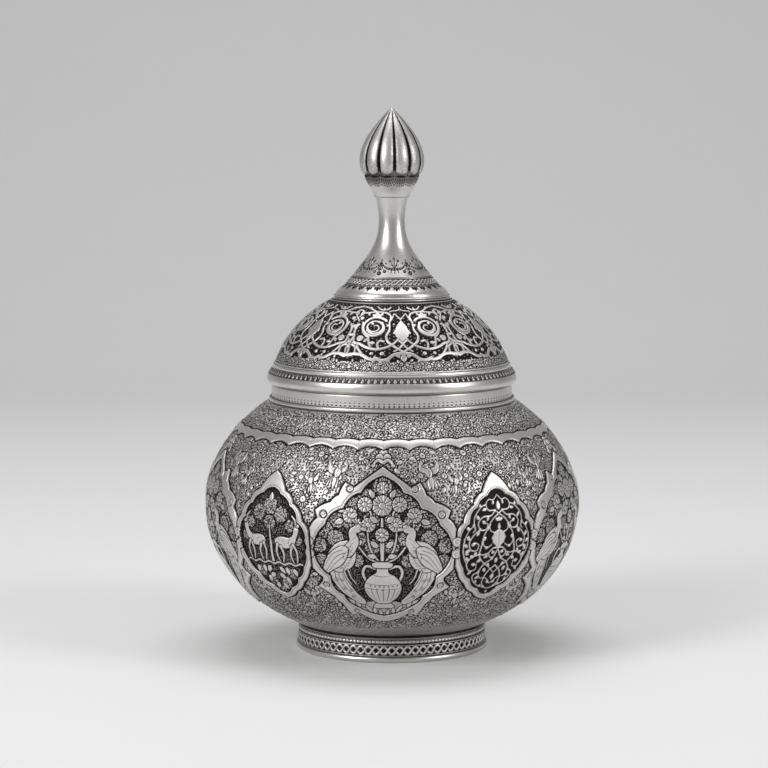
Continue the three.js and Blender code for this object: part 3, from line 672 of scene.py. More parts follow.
def chase_shoulder(work, s, phi):
    """Running scroll with flowers in its bends, above the scalloped band."""
    wave = SCROLL_S + 2.6 * np.sin(np.radians(phi) * 20)
    scroll = np.where(s > SHOULDER_S, np.abs(s - wave) * 0.8 - 0.34, AWAY)
    work.relief(work.everywhere(), scroll, -0.04, 0.3, 0.08, 0.6)
    for i in range(40):
        up = 1 if i % 2 else -1
        turn, along = 9.0 * i + 4.5, SCROLL_S + up * 1.4
        at, x, y = work.patch(turn, along, 5.5)
        field = stroke(x, y, spiral(0, 0, 1.6, 3.6, 0.4 * up + i, 0.9 * up, 16), 0.34, 0.22)
        for m in range(7):
            a = i + 2 * np.pi * m / 7
            field = np.minimum(field, leaf(x - 3.2 * math.sin(a), y - 3.2 * math.cos(a), 2.4, 0.6, a + 0.9))
        work.relief(at, field, -0.04, 0.3, 0.08, 0.55)
        chase_flower(work, turn, along, 1.8, 9, i, -0.06)
        for dt, ds in ((3.2, 4.6), (-2.8, 5.2), (0.6, -5.4), (-3.4, -4.4), (2.6, -3.6), (0.2, 6.6)):
            chase_curl(work, turn + dt, SCROLL_S + up * ds, 1.5, i * 1.3 + dt, -0.1)


def chase_strokes(work, s, phi):
    """Short strokes that the lower field fades into above the foot."""
    row = 1.25
    dashes = np.abs((s + 0.25 * np.sin(np.radians(phi) * 37 + s)) % row - 0.62) - 0.14
    dashes = np.maximum(dashes, 0.35 - np.abs((phi * 0.55 + 2.4 * np.floor(s / row)) % 3.1 - 1.5))
    dashes = np.where(s < STROKE_S, dashes + np.maximum(s - 13, 0) * 0.03, AWAY)
    work.cut(work.everywhere(), dashes, 0.12, 0.25, 0.75)


def chase_band(work, s, phi):
    """Scalloped band under the shoulder, with a faint joint between its lobes."""
    full = work.everywhere()
    t = ((phi - TURN) % BAND_PITCH) / (BAND_PITCH / 2) - 1
    low, high = BAND_LOW + 2.1 * (1 - t * t), BAND_HIGH + 0.9 * (1 - t * t)
    band = np.maximum(low - s, s - high)
    work.relief(full, band, 0.32, 0.5, 0.12, 1.1, ink=1.0, pillow=2.2)
    work.cut(full, np.where(s > low + 1.5, np.abs(s - high + 0.9) - 0.1, AWAY), 0.08, 0.25, 0.6)
    work.cut(full, np.maximum(band, (1 - np.abs(t)) * 4.5 * 1.5 - 0.12), 0.1, 0.25, 0.35)


class Panel:
    """The ground inside a frame. Shapes given on its right half are drawn on both sides."""

    def __init__(self, work, at, kind, margin, dark, matt=0.0):
        self.work, self.at, self.y, self.across, self.x = work, at, kind.y, kind.x, np.abs(kind.x)
        self.limit = kind.inner + margin
        for layer, value in ((work.dark, dark), (work.matt, matt)):
            layer[at] = np.where(kind.inner < 0, value, layer[at])

    def raise_shape(self, sd, lift=PANEL_TOP, soft=0.4, dark=0.06, line=0.5, **look):
        """Raises a shape, but not past the frame."""
        self.work.relief(self.at, np.maximum(sd, self.limit), lift, soft, dark, line, **look)

    def cut(self, sd, depth, soft, ink):
        self.work.cut(self.at, sd, depth, soft, ink)

    def form(self, pts, pillow=2.2, lift=PANEL_TOP, dark=0.06, line=0.6, matt=0.0):
        """Rounded form inside a smooth closed curve."""
        sd = polygon(self.x, self.y, curve(pts, 5, True))
        self.raise_shape(sd, lift, 0.4, dark, line, matt=matt, ink=1.0, pillow=pillow)

    def folds(self, lines, width=0.13, ink=0.85, across=None):
        """Engraved lines that grow finer towards their ends."""
        x = self.x if across is None else across
        for pts in lines:
            self.cut(stroke(x, self.y, curve(pts, 4), width, width * 0.4), 0.14, 0.3, ink)


# The arabesque's stems, leaves and knots, on the right half
ARABESQUE_STEMS = (
    [(0, 6.2), (2.0, 7.6), (5.4, 8.0), (6.6, 10.6), (4.8, 12.9), (2.4, 12.6), (0, 14.8)],
    [(0, 6.2), (3.2, 4.0), (5.2, 1.2), (4.4, -1.6), (2.4, -2.4)],
    [(2.0, 7.6), (4.4, 5.4), (8.6, 5.0), (11.0, 2.6), (10.2, -0.6), (7.4, -0.8), (6.2, 1.4), (7.8, 2.6)],
    [(5.0, 1.2), (7.6, -2.6), (8.6, -6.6), (6.4, -9.4), (3.8, -8.2)],
    [(6.6, 10.6), (9.6, 9.4), (12.8, 5.4), (13.4, 1.6), (15.8, -0.8), (17.8, -4.4)],
    [(10.2, -0.6), (13.2, -2.8), (15.4, -6.2), (14.6, -9.8), (11.6, -10.4), (10.6, -7.8), (12.6, -6.6)],
    [(0, -9.8), (2.6, -9.9), (4.9, -12.2), (3.4, -14.4), (1.2, -13.4), (1.8, -11.6)],
    [(0, -10.4), (2.6, -15.0), (6.4, -17.6), (8.6, -21.6), (7.0, -25.0), (3.6, -25.4), (0, -28.8)],
    [(8.6, -6.6), (9.8, -12.4), (7.6, -16.2), (3.4, -19.4), (0, -22.6)],
    [(0, -18.6), (3.6, -22.0), (5.0, -27.0), (3.2, -30.6), (0, -32.0)],
    [(9.8, -12.4), (13.6, -13.6), (15.8, -16.8), (14.0, -20.4), (10.8, -20.0), (10.8, -17.2)],
    [(8.6, -21.6), (11.4, -23.4), (10.2, -26.8), (6.8, -29.6), (3.2, -30.6)],
    [(17.8, -4.4), (18.4, -9.6), (17.2, -14.2), (15.8, -16.8)],
    [(13.4, 1.6), (12.6, -0.4), (13.8, -1.6)], [(4.9, -12.2), (7.6, -12.8), (9.8, -12.4)])
ARABESQUE_LEAVES = (
    (0, 7.8, 4.4, 1.3, 0), (2.4, 12.4, 2.2, 0.7, 2.9), (6.4, 8.6, 2.6, 0.8, 1.7), (9.4, 9.4, 2.6, 0.8, 0.5),
    (0, 2.6, 2.6, 0.9, 0), (0, -1.2, 3.0, 0.9, 0), (0, 3.0, 2.4, 0.8, 1.1), (5.6, 5.2, 2.4, 0.8, 2.7),
    (10.4, 4.0, 2.8, 0.8, 0.7), (7.4, 2.0, 2.2, 0.8, 0.9), (6.4, 0.6, 2.0, 0.7, 3.6),
    (10.6, -1.2, 2.8, 0.9, 2.6), (6.9, -4.2, 2.6, 0.9, 2.3), (12.4, -7.2, 2.2, 0.9, 1.7),
    (15.2, -5.2, 2.6, 0.8, 0.8), (15.2, -0.6, 2.6, 0.8, 0.9), (16.2, -3.0, 2.2, 0.7, 3.3),
    (17.8, -7.0, 2.4, 0.8, -2.4), (14.8, -10.0, 2.8, 0.9, 1.9), (11.4, -11.0, 2.4, 0.8, 2.6),
    (2.2, -12.6, 1.9, 0.8, 0.6), (5.0, -13.4, 2.6, 0.8, 1.9), (8.6, -14.8, 2.6, 0.9, 2.2),
    (12.8, -14.0, 2.4, 0.8, 0.9), (15.2, -15.4, 2.6, 0.8, 0.6), (11.2, -17.6, 2.4, 0.9, 1.3),
    (4.8, -17.2, 2.4, 0.8, 3.8), (0, -14.6, 3.0, 1.0, 3.14), (6.2, -19.6, 2.6, 0.9, 3.6),
    (12.6, -20.6, 2.8, 0.8, 2.4), (0, -23.2, 3.4, 1.1, 3.14), (7.8, -24.4, 2.4, 0.8, 1.8),
    (2.2, -26.8, 2.2, 0.8, 3.6), (8.6, -28.0, 2.2, 0.7, 0.2), (17.4, -11.4, 2.4, 0.7, -1.9),
    (0, -33.0, 1.8, 0.7, 3.14), (5.0, -29.0, 2.0, 0.7, 2.4))
ARABESQUE_KNOTS = ((2.0, 7.6), (5.2, 1.2), (10.2, -0.6), (8.6, -6.6), (9.8, -12.4), (2.6, -15.0),
                   (8.6, -21.6), (3.2, -30.6), (13.4, 1.6), (6.4, -9.4))


def arabesque(work, at, kind):
    """Pierced-looking strapwork round a serrated leaf, on a black ground."""
    panel = Panel(work, at, kind, 0.3, 1.0)
    work.h[at] = np.where(kind.inner < 0, -0.42, work.h[at])
    x, y = panel.x, panel.y
    wide = 4.1 * np.sin(np.pi * np.clip((y + 10.6) / 9.9, 0, 1) ** 1.25) ** 0.75
    wide -= 0.5 * np.abs(np.sin(y * 1.3))
    field = union([union(stroke(x, y, curve(pts), 0.42, 0.28) for pts in ARABESQUE_STEMS),
                   leaves(x, y, ARABESQUE_LEAVES), union(disc(x, y, *knot, 0.75) for knot in ARABESQUE_KNOTS),
                   np.maximum(x - wide, np.maximum(-10.6 - y, y + 0.7))])
    panel.raise_shape(field, dark=0.05, line=0)
    panel.cut(stroke(x, y, [(0, -9.5), (0, -2)], 0.06), 0.1, 0.25, 0.5)


def gazelles(work, at, kind):
    """Two gazelles back to back at a small tree, over flowers."""
    panel = Panel(work, at, kind, 0.4, 0.5, matt=1.0)
    x, y = panel.x, panel.y
    for i, (cx, cy, r) in enumerate(((0, 9, 4.2), (6.5, 5.5, 3.8), (0, 1.5, 3.4), (12, 0.5, 3.0),
                                     (15.5, -6, 2.6), (4.5, -29, 3.2), (10, -23.5, 3.0), (0, -34, 2.6))):
        panel.raise_shape(petals(x - cx, y - cy, r, 7, i, 0.16), -0.16, dark=0.12, line=0.4, matt=1.0)
    panel.raise_shape(stroke(panel.across, y, [(0, -17), (0.4, -8), (0, 0)], 0.8, 0.4), -0.08, dark=0.08)
    panel.form([(3.2, -6.0), (6.5, -4.6), (11.0, -5.0), (13.2, -3.2), (14.0, 0.4), (15.6, 0.8), (16.4, -1.4),
                (15.0, -5.2), (13.4, -8.6), (9.6, -10.2), (5.2, -9.8), (3.0, -8.6)])
    limbs = PANEL_TOP - 0.05
    for pts in ([(4.2, -8.5), (3.2, -12.5), (4.4, -17.4)], [(6.0, -9.5), (7.2, -13), (6.2, -17.4)],
                [(12.4, -8.8), (11.2, -13), (12.2, -17.4)], [(13.0, -8.2), (14.8, -12), (14.2, -17.2)],
                [(15.2, 0.8), (14.4, 3.4), (12.6, 5.2)], [(16.0, 0.6), (16.4, 3.2), (15.2, 5.6)]):
        panel.raise_shape(stroke(x, y, curve(pts), 0.75, 0.35), limbs)
    panel.folds(([(5.0, -6.2), (7.4, -6.6), (8.6, -8.8)], [(11.4, -5.6), (10.6, -7.4), (11.2, -9.0)]))
    panel.raise_shape(np.abs(y + 18.2 + 0.5 * np.cos(x)) - 0.5, limbs)
    for cx, cy, turn in ((3, -20, 2.6), (7, -20, 3.0), (11, -20.5, 2.8), (1.5, -24, 2.2), (5.5, -25.5, 2.9),
                         (1.4, -29.5, 2.6), (0, 11, 0)):
        panel.raise_shape(leaf(x - cx, y - cy, 4.4, 1.3, turn), -0.1, dark=0.08, line=0.4)


def garden(work, at, kind):
    """Flowering vase between two peacocks, before pebbled clumps of foliage."""
    panel = Panel(work, at, kind, 0.5, 0.5, matt=1.0)
    clumps(panel)
    bouquet(panel)
    peacock(panel)
    vase(panel)


def clumps(panel):
    """Pebbled foliage behind, and a ground with tufts."""
    x, y = panel.x, panel.y
    for i, (cx, cy, r) in enumerate((
            (0, 20.5, 4.6), (7.5, 14.5, 5.0), (14.5, 12.5, 4.2), (20.5, 6.0, 4.8), (26.5, 0.2, 4.0),
            (29.5, -7.0, 3.8), (28.5, -15.0, 4.0), (24.5, -22.0, 3.6), (13.5, 3.5, 4.2), (5.0, 5.0, 4.0),
            (21.5, -3.5, 4.0), (10.5, -3.5, 3.6), (4.5, -7.0, 3.6), (22.0, -30.0, 3.4), (12.0, -14.0, 3.4))):
        bush = petals(x - cx, y - cy, r, 9, i, 0.1)
        panel.raise_shape(bush, -0.14, 0.5, 0.1, 0.55, matt=1.0, ink=1.0, pillow=1.4)
    ground = both_sides([(0, -36.5), (12, -38.2), (22, -35), (20, -46), (0, -50)])
    panel.form(ground, 3.0, -0.1, 0.16, 0.6, 0.3)
    for cx, cy, length, turn in ((7, -46, 6.5, 0.5), (9, -45, 6.0, 1.0), (5.2, -47, 5.5, 0.0),
                                 (15, -39.5, 4.6, 0.9), (13, -42, 5.5, 0.4), (1.6, -48, 4.5, 0.2)):
        panel.raise_shape(leaf(x - cx, y - cy, length, 1.1, turn), -0.04, pillow=0.8)


def bouquet(panel):
    """Stems, blossoms and leaves above the vase."""
    x, y = panel.x, panel.y
    for pts, w in (([(0, -16), (0.5, -5), (0, 6)], 0.7), ([(1, -15), (5, -9), (6.5, -2), (6.0, 4)], 0.55),
                   ([(1, -15), (7, -12), (13, -3), (14.5, 4)], 0.5),
                   ([(5.6, 3), (5.0, 8), (7.6, 11.5)], 0.5)):
        panel.raise_shape(stroke(x, y, curve(pts), w, 0.4), -0.06, line=0.55)
    for cx, cy, r, n in ((0, 11.8, 4.9, 12), (8.0, 12.2, 3.6, 9), (6.2, 3.0, 3.4, 9), (14.8, 7.2, 3.6, 9),
                         (0, -1.6, 3.3, 8), (0, 20.0, 2.9, 8)):
        rad, a = np.hypot(x - cx, y - cy), np.arctan2(x - cx, y - cy)
        spoke = np.abs(a * n / (2 * np.pi) % 1 - 0.5)
        reach = 0.84 + 0.16 * np.sin(np.pi * (1 - spoke)) ** 0.5 - 0.5 * np.maximum(spoke - 0.38, 0)
        panel.raise_shape(rad - r * reach, dark=0.05, line=0.7, pillow=r * 0.3)
        seam = (0.5 - spoke) * 2 * np.pi * rad / n - 0.2
        panel.cut(np.maximum(seam, np.maximum(r * 0.36 - rad, rad - r)), 0.2, 0.3, 1.0)
        panel.raise_shape(rad - r * 0.3, dark=0.05, line=0.4, pillow=r * 0.3)
    for cx, cy, length, width, turn in (
            (2.2, 4.2, 4.4, 1.3, 0.9), (2.0, -7.5, 4.6, 1.3, 0.8), (9.6, 1.6, 4.4, 1.3, 0.5),
            (9.0, -4.5, 4.6, 1.3, 2.0), (4.0, 15.4, 4.2, 1.2, 0.5), (11.5, 8.2, 3.8, 1.1, 2.2),
            (17.8, 4.8, 4.4, 1.3, 1.9), (17.5, 8.8, 4.2, 1.2, 1.2), (2.6, -12.0, 4.4, 1.2, 1.4)):
        panel.raise_shape(leaf(x - cx, y - cy, length, width, turn), -0.05, pillow=0.9)
        tip = cx + math.sin(turn) * length * 0.8, cy + math.cos(turn) * length * 0.8
        panel.cut(stroke(x, y, [(cx, cy), tip], 0.07), 0.1, 0.25, 0.7)


def peacock(panel):
    """Peacock that faces the flowers, with its tail hanging."""
    x, y = panel.x, panel.y
    panel.form([(19.5, -17.5), (24.5, -16.5), (25.6, -21.5), (23.2, -28.5), (18.6, -34.5), (12.0, -39.5),
                (9.4, -37.6), (13.4, -32.0), (16.8, -25.5)], 2.6)
    panel.folds(([(21.5, -19), (20.6, -25), (16.5, -32), (11.2, -37.4)],
                 [(23.2, -19), (22.6, -25.5), (18.6, -32.6), (12.0, -38.6)],
                 [(19.6, -21), (17.4, -27.5), (13.6, -33.4)]), 0.16)
    panel.form([(12.4, -6.4), (16.0, -4.4), (21.5, -6.2), (25.5, -11.0), (26.0, -16.5), (22.0, -20.0),
                (16.2, -18.8), (12.6, -14.0)], 3.4)
    neck = stroke(x, y, curve([(15.8, -9.5), (12.8, -5.0), (13.6, -0.6), (11.4, 1.4)]), 2.7, 1.2)
    panel.raise_shape(np.minimum(neck, disc(x, y, 11.2, 1.2, 1.9)), dark=0.05, line=0.7, pillow=1.9)
    panel.raise_shape(leaf(x - 9.8, y - 1.2, 3.0, 0.8, -1.7), soft=0.35, dark=0.05)
    for turn in (-0.4, 0.1, 0.6):
        plume = [(11.6, 2.8), (11.6 + 2.6 * math.sin(turn), 2.8 + 2.6 * math.cos(turn))]
        panel.raise_shape(stroke(x, y, plume, 0.2, 0.4), -0.06, 0.3, 0.05, 0.35)
    panel.form([(15.6, -8.6), (19.5, -7.4), (25.2, -11.5), (28.6, -18.2), (28.2, -22.0), (24.0, -19.2),
                (18.5, -15.6)], 1.8)
    panel.folds(([(17.6, -10.4), (22.0, -12.6), (27.6, -20.4)], [(17.8, -12.0), (21.6, -15.0), (25.8, -19.6)],
                 [(18.6, -9.0), (23.4, -11.2), (27.8, -17.6)],
                 [(16.6, -10.0), (18.2, -11.8), (17.6, -14.2)]), 0.16)
    panel.folds(([(13.2, -5.4), (14.8, -7.4), (14.6, -10.0)], [(12.4, -3.0), (14.0, -4.4), (15.6, -6.2)],
                 [(12.2, -14.0), (14.8, -16.4)], [(14.2, -12.4), (16.4, -16.2), (20.2, -18.4)]), 0.12, 0.7)
    panel.raise_shape(disc(x, y, 10.9, 1.7, 0.25), -0.3, 0.2, 0.95, 0)
    for pts in ([(16.4, -19), (15.4, -23), (13.2, -26.5)], [(18.4, -19.6), (17.4, -23.4), (15.6, -27.0)]):
        panel.raise_shape(stroke(x, y, pts, 0.45, 0.3), -0.06, 0.3)
    breast = polygon(x, y, curve([(13.4, -7.6), (15.6, -6.6), (16.4, -10.4), (18.4, -15.0), (20.6, -18.6),
                                  (16.4, -17.6), (13.8, -13.4)], 4, True))
    row = np.floor(y / 1.3)
    scale = np.hypot((x + 0.8 * (row % 2)) % 1.6 - 0.8, y - row * 1.3 - 1.0)
    panel.cut(np.maximum(np.abs(scale - 0.85) - 0.1, breast), 0.08, 0.2, 0.8)
    for cx, cy, r in ((22.6, -24.4, 1.0), (19.6, -29.4, 1.0), (15.4, -34.2, 0.9), (20.0, -24.6, 0.8),
                      (16.2, -30.4, 0.8)):
        panel.cut(np.abs(disc(x, y, cx, cy, r)) - 0.12, 0.1, 0.2, 0.85)
        panel.cut(disc(x, y, cx, cy, r * 0.4), 0.1, 0.2, 0.9)


def vase(panel):
    """Vase with a gadrooned belly, a band and two handles."""
    x, y, across = panel.x, panel.y, panel.across
    handle = curve([(3.0, -18.0), (7.4, -16.6), (9.4, -20.2), (8.0, -25.0)])
    panel.raise_shape(stroke(x, y, handle, 0.7), dark=0.05, line=0.6)
    panel.form(both_sides([(0, -42.4), (5.6, -41.8), (3.2, -38.0), (0, -37.4)]), 1.6)
    panel.form(both_sides([(0, -16.8), (2.6, -17.2), (3.0, -20.0), (6.6, -22.6), (9.2, -27.6), (8.0, -33.6),
                           (3.6, -38.2), (0, -38.8)]), 5.0, line=0.8)
    panel.form(both_sides([(0, -14.4), (4.6, -15.0), (4.2, -17.2), (0, -17.6)]), 1.2)
    panel.folds([[(-half, edge), (0, middle), (half, edge)] for half, edge, middle in
                 ((8.6, -26.0, -27.2), (8.8, -28.6, -29.9), (4.2, -21.4, -22.2))], 0.16, across=across)
    belly = np.maximum(x - 8.6, np.maximum(y + 29.0, -37.4 - y))
    gores = np.abs((np.arcsin(np.clip(across / (9.4 - 0.05 * (y + 28) ** 2), -1, 1)) * 2.9) % 1 - 0.5)
    panel.cut(np.maximum((0.5 - gores) * 2.4 - 0.16, belly), 0.14, 0.3, 0.8)
    beads = np.hypot((across + 60) % 2.2 - 1.1, y + 27.9 - 0.014 * x * x) - 0.45
    panel.cut(np.maximum(beads, x - 7.6), 0.1, 0.3, 0.7)


def make_bowl():
    belly = chain(ellipse(BOWL_R, LOWER, GIRTH_Z, -math.acos(FOOT_JOIN / BOWL_R), 0, 400),
                  ellipse(BOWL_R, UPPER, GIRTH_Z, 0, math.asin((BOWL_TOP - GIRTH_Z) / UPPER), 400)[1:])
    work = Canvas(belly, 1800, count=440)
    work.h[:], work.dark[:] = GROUND, 0.12
    for zone in DOT_ZONES:
        work.dots(*zone)
    large = FrameKind(work, TURN, 50, 66, LARGE_OUT, LARGE_IN)
    small = FrameKind(work, TURN + 36, 40, 52, SMALL_OUT, SMALL_IN)
    free = np.full(work.h.shape, 99.0)          # distance outside the nearest frame
    for kind in (large, small):
        for at in kind.at:
            free[at] = np.minimum(free[at], kind.outer)
    for zone in MEADOWS:
        meadow(work, free, *zone)
    for k in range(5):
        for side in (1, -1):
            for away, along, facing, size in BIRDS:
                chase_bird(work, TURN + 72 * k + side * away, along, side * facing, size)
    s, phi, _, _ = work.grids()
    chase_shoulder(work, s, phi)
    chase_strokes(work, s, phi)
    for k in range(5):
        chase_strap(work, large.at[k], large)
        chase_strap(work, small.at[k], small)
        chase_bosses(work, large.at[k], large)
        chase_crown(work, large.at[k], large)
    chase_band(work, s, phi)
    arabesque(work, small.at[0], small)
    gazelles(work, small.at[1], small)
    garden(work, large.at[0], large)
    work.stamp(small.at[0], [small.at[2], small.at[3]], small.inner < 0)
    work.stamp(small.at[1], [small.at[4]], small.inner < 0)
    work.stamp(large.at[0], large.at[1:], large.inner < 0)
    work.age(3, 9, 1.5)
    canvas_object("bowl_chased_wall", work, "bowl_body", "bowl", CHASED, parts=8)


def make_bowl_inside():
    floor_z, base_z = 9.5, 8.0
    inner_w, inner_l = BOWL_R - 1.1, LOWER - 1.5
    inner_u = half_height(inner_w, COLLAR_BORE, BOWL_TOP - GIRTH_Z)
    lining = chain([(SHOULDER_JOIN, BOWL_TOP), (COLLAR_BORE, BOWL_TOP)],
                   ellipse(inner_w, inner_u, GIRTH_Z, math.asin((BOWL_TOP - GIRTH_Z) / inner_u), 0, 160),
                   ellipse(inner_w, inner_l, GIRTH_Z, 0, -math.asin((GIRTH_Z - floor_z) / inner_l), 160)[1:],
                   [(0.05, floor_z)])
    plain_ring("bowl_lining", lining, 240, "bowl_body", "bowl", PLAIN, 1.2, loop=False)
    under = chain([(0.05, base_z)], ellipse(BOWL_R, LOWER, GIRTH_Z, -math.asin((GIRTH_Z - base_z) / LOWER),
                                            -math.acos(FOOT_JOIN / BOWL_R), 40))
    plain_ring("bowl_underside", under, 200, "bowl_body", "bowl", PLAIN, 1.0, loop=False)


# Foot: the cove lies under the belly's curve, and the bead under the cove
SEAT_Z = GIRTH_Z - 65.454 * math.sin(math.acos(43.0 / 89.6))
COVE_Z = SEAT_Z - 1.1
BEAD_Z = COVE_Z - 1.5
COVE_R = FOOT_TOP - 0.825


def bead_wire(name, bore, foot_z, width, height, flat, node, count, n_turn):
    """Half-round wire cut into a row of small beads."""
    profile = half_round(bore, foot_z, width, height, flat)
    work = Canvas(np.concatenate([profile, profile[:1]]), n_turn, step=0.2)
    work.close()
    u = np.abs(((work.phi * count / 360) % 1) * 2 - 1)[None, :]
    notch = smooth((u - 0.62) / 0.38) * (work.p[:, :1] > bore + flat * 0.8)
    work.h -= 0.3 * notch
    # painted shade in the notches between the beads
    work.dark += 0.85 * notch
    canvas_object(name, work, node, "bowl", POLISHED, loop=True)


def make_foot():
    wire = half_round(FOOT_BORE, 0, FOOT_RIM - FOOT_BORE, FOOT_WIRE_Z, 1.2, 20)
    plain_ring("foot_standing_wire", wire, 720, "foot_wire", "bowl", POLISHED, 0.22,
               creases=[(45.6, FOOT_WIRE_Z)], width=0.9)
    chased = [(FOOT_BAND - FOOT_WALL, FOOT_WIRE_Z), (FOOT_BAND, FOOT_WIRE_Z), (FOOT_TOP, BEAD_Z)]
    rest = [(COVE_R - 0.1, BEAD_Z), (COVE_R - 0.1, COVE_Z), (COVE_R + 0.3, COVE_Z + 0.6), (FOOT_TOP, SEAT_Z),
            (FOOT_TOP - FOOT_WALL, SEAT_Z), (FOOT_BAND - FOOT_WALL, FOOT_WIRE_Z)]
    work = Canvas(chain(chased, rest), 1368, step=0.24)
    work.close()
    s, phi, _, z = work.grids()
    full = work.everywhere()
    on_band = (s > FOOT_WALL) & (s < FOOT_WALL + BEAD_Z - FOOT_WIRE_Z)
    # guilloche of two strands, of which the one that climbs to the right lies on top
    pitch, middle, swing, half = 360 / 76, 5.75, 1.7, 0.52
    pitch_mm = pitch * 0.79
    along = phi / pitch
    work.dark[:] = np.where(on_band, 0.95, 0.25)
    work.h[:] = np.where(on_band & (np.abs(z - middle) < 2.35), -0.22, 0)
    slope = 1 / np.sqrt(1 + (swing * np.pi / pitch_mm * np.sin(np.pi * along)) ** 2)
    rising = np.sin(np.pi * along) < 0
    strands = {}
    for sign in (1, -1):
        wave = middle + sign * swing * np.cos(np.pi * along)
        strands[sign] = np.abs(z - wave) * slope - half
    for sign, strand in strands.items():
        work.relief(full, np.where(on_band, strand, AWAY), 0.03 + 0.02 * sign, 0.3, 0.08, 0.3)
    for sign, strand in strands.items():
        over = on_band & (rising if sign > 0 else ~rising)
        work.relief(full, np.where(over, strand, AWAY), 0.08, 0.3, 0.05, 0.25)
    for z0 in (middle + 2.0, middle - 2.0):
        bead = np.hypot(((along + 0.5) % 1 - 0.5) * pitch_mm, z - z0) - 0.3
        work.relief(full, np.where(on_band, bead, AWAY), 0.02, 0.25, 0.1, 0)
    for z0, width in ((3.25, 0.18), (8.15, 0.2)):
        work.relief(full, np.where(on_band, np.abs(z - z0) - width, AWAY), 0.05, 0.3, 0.04, 0.3)
    # painted shade: the inner wall and the edge of its top are a little darker
    work.dark = np.where(s > work.s[-1] - 9.5, 0.3, work.dark)
    canvas_object("foot_chased_ring", work, "foot_ring", "bowl", CHASED, parts=2, loop=True)
    bead_wire("foot_bead_wire", COVE_R, BEAD_Z, 1.1, 1.5, 0.35, "foot_bead", 150, 1200)


def make_neck():
    profile = chain([(COLLAR_BORE, BOWL_TOP), (COLLAR_R, BOWL_TOP), (COLLAR_R, COLLAR_TOP - 0.35),
                     (COLLAR_R - 0.35, COLLAR_TOP), (COLLAR_BORE, COLLAR_TOP), (COLLAR_BORE, BOWL_TOP)])
    work = Canvas(profile, 1248, step=0.27)
    work.close()
    s, phi, _, z = work.grids()
    full = work.everywhere()
    outer_face = (s > 1.5) & (s < 9.3)
    # stamps of four dots over a line
    pitch = 360 / 156
    x = ((phi % pitch) - pitch / 2) * math.pi / 180 * COLLAR_R
    for dx, dz, r in ((0, 122.0, 0.42), (-0.58, 121.1, 0.36), (0.58, 121.1, 0.36), (0, 123.3, 0.34)):
        work.cut(full, np.where(outer_face, np.hypot(x - dx, z - dz) - r, AWAY), 0.14, 0.25, 1.0)
    work.cut(full, np.where(outer_face, np.abs(z - 120.35) - 0.1, AWAY), 0.1, 0.3, 0.7)
    # painted shade under the round wire: the collar's face darkens towards its foot
    work.dark = np.maximum(work.dark, np.where(outer_face, 0.9 * smooth((120.0 - z) / 0.8), 0.15))
    canvas_object("neck_chased_collar", work, "neck_collar", "bowl", POLISHED, loop=True)
    plain_ring("neck_round_wire", half_round(57.6, BOWL_TOP, 1.2, 2.0, 0.4), 900, "neck_bead", "bowl",
               POLISHED, 0.22, width=0.7,
               creases=[(58.0, BOWL_TOP), (58.0, BOWL_TOP + 2.0)])


def make_lid_rim():
    rebate_z = LID_Z + 2.6
    rebate_r = BEZEL_R + 0.1
    moulding = chain([(BEZEL_BORE, rebate_z), (rebate_r, rebate_z), (rebate_r, LID_Z), (57.9, LID_Z)],
                     bezier((57.9, LID_Z), (59.9, 127.7), (59.95, 131.0), (58.95, 132.6), 16))
    slope = bezier((58.72, 132.75), (58.6, 133.6), (57.7, 134.2), (RIM_R, RIM_TOP), 8)
    work = Canvas(chain(moulding, slope, [(BEZEL_BORE, RIM_TOP), (BEZEL_BORE, rebate_z)]), 1440, step=0.25)
    work.close()
    _, phi, r, z = work.grids()
    full = work.everywhere()
    # sloping band of leaves with beads between their tips
    on_band = (r > 57.2) & (z > 132.6)
    work.dark[:] = np.where(on_band, 0.9, 0.03)
    work.h[:] = np.where(on_band, -0.16, 0)
    x = ((phi % 3.0) - 1.5) * math.pi / 180 * 58.3
    work.relief(full, np.where(on_band, leaf(x, z - 132.8, 2.0, 0.75, 0), AWAY), 0.04, 0.35, 0.16, 0.25)
    bead = np.hypot(np.abs(x) - 1.5, z - 134.5) - 0.28
    work.relief(full, np.where(on_band, bead, AWAY), 0.02, 0.3, 0.16, 0.2)
    # painted shade in the crease between the moulding and the sloping band
    work.dark = np.maximum(work.dark, np.where(r > 57, 0.7 * smooth(1 - np.abs(z - 132.7) / 0.5), 0))
    canvas_object("lid_moulded_rim", work, "lid_rim", "lid", POLISHED, parts=2, loop=True)


def make_bezel_and_bead():
    top = 130.0
    bezel = chain([(BEZEL_BORE, BEZEL_Z), (BEZEL_R - 0.65, BEZEL_Z), (BEZEL_R, BEZEL_Z + 0.65),
                   (BEZEL_R, top), (BEZEL_BORE, top)])
    plain_ring("lid_plain_bezel", bezel, 360, "lid_bezel", "lid", PLAIN, 0.5)
    wire = half_round(55.6, RIM_TOP, 1.2, DOME_Z - RIM_TOP, 0.4)
    plain_ring("lid_round_wire", wire, 900, "lid_bead", "lid", POLISHED, 0.22,
               creases=[(56.0, RIM_TOP), (56.0, DOME_Z)], width=0.7)


# Dome: length up its curve to the middle of a kite-shaped leaf, and where the strapwork begins
LEAF_S, LIP_S = 23.4, 5.6

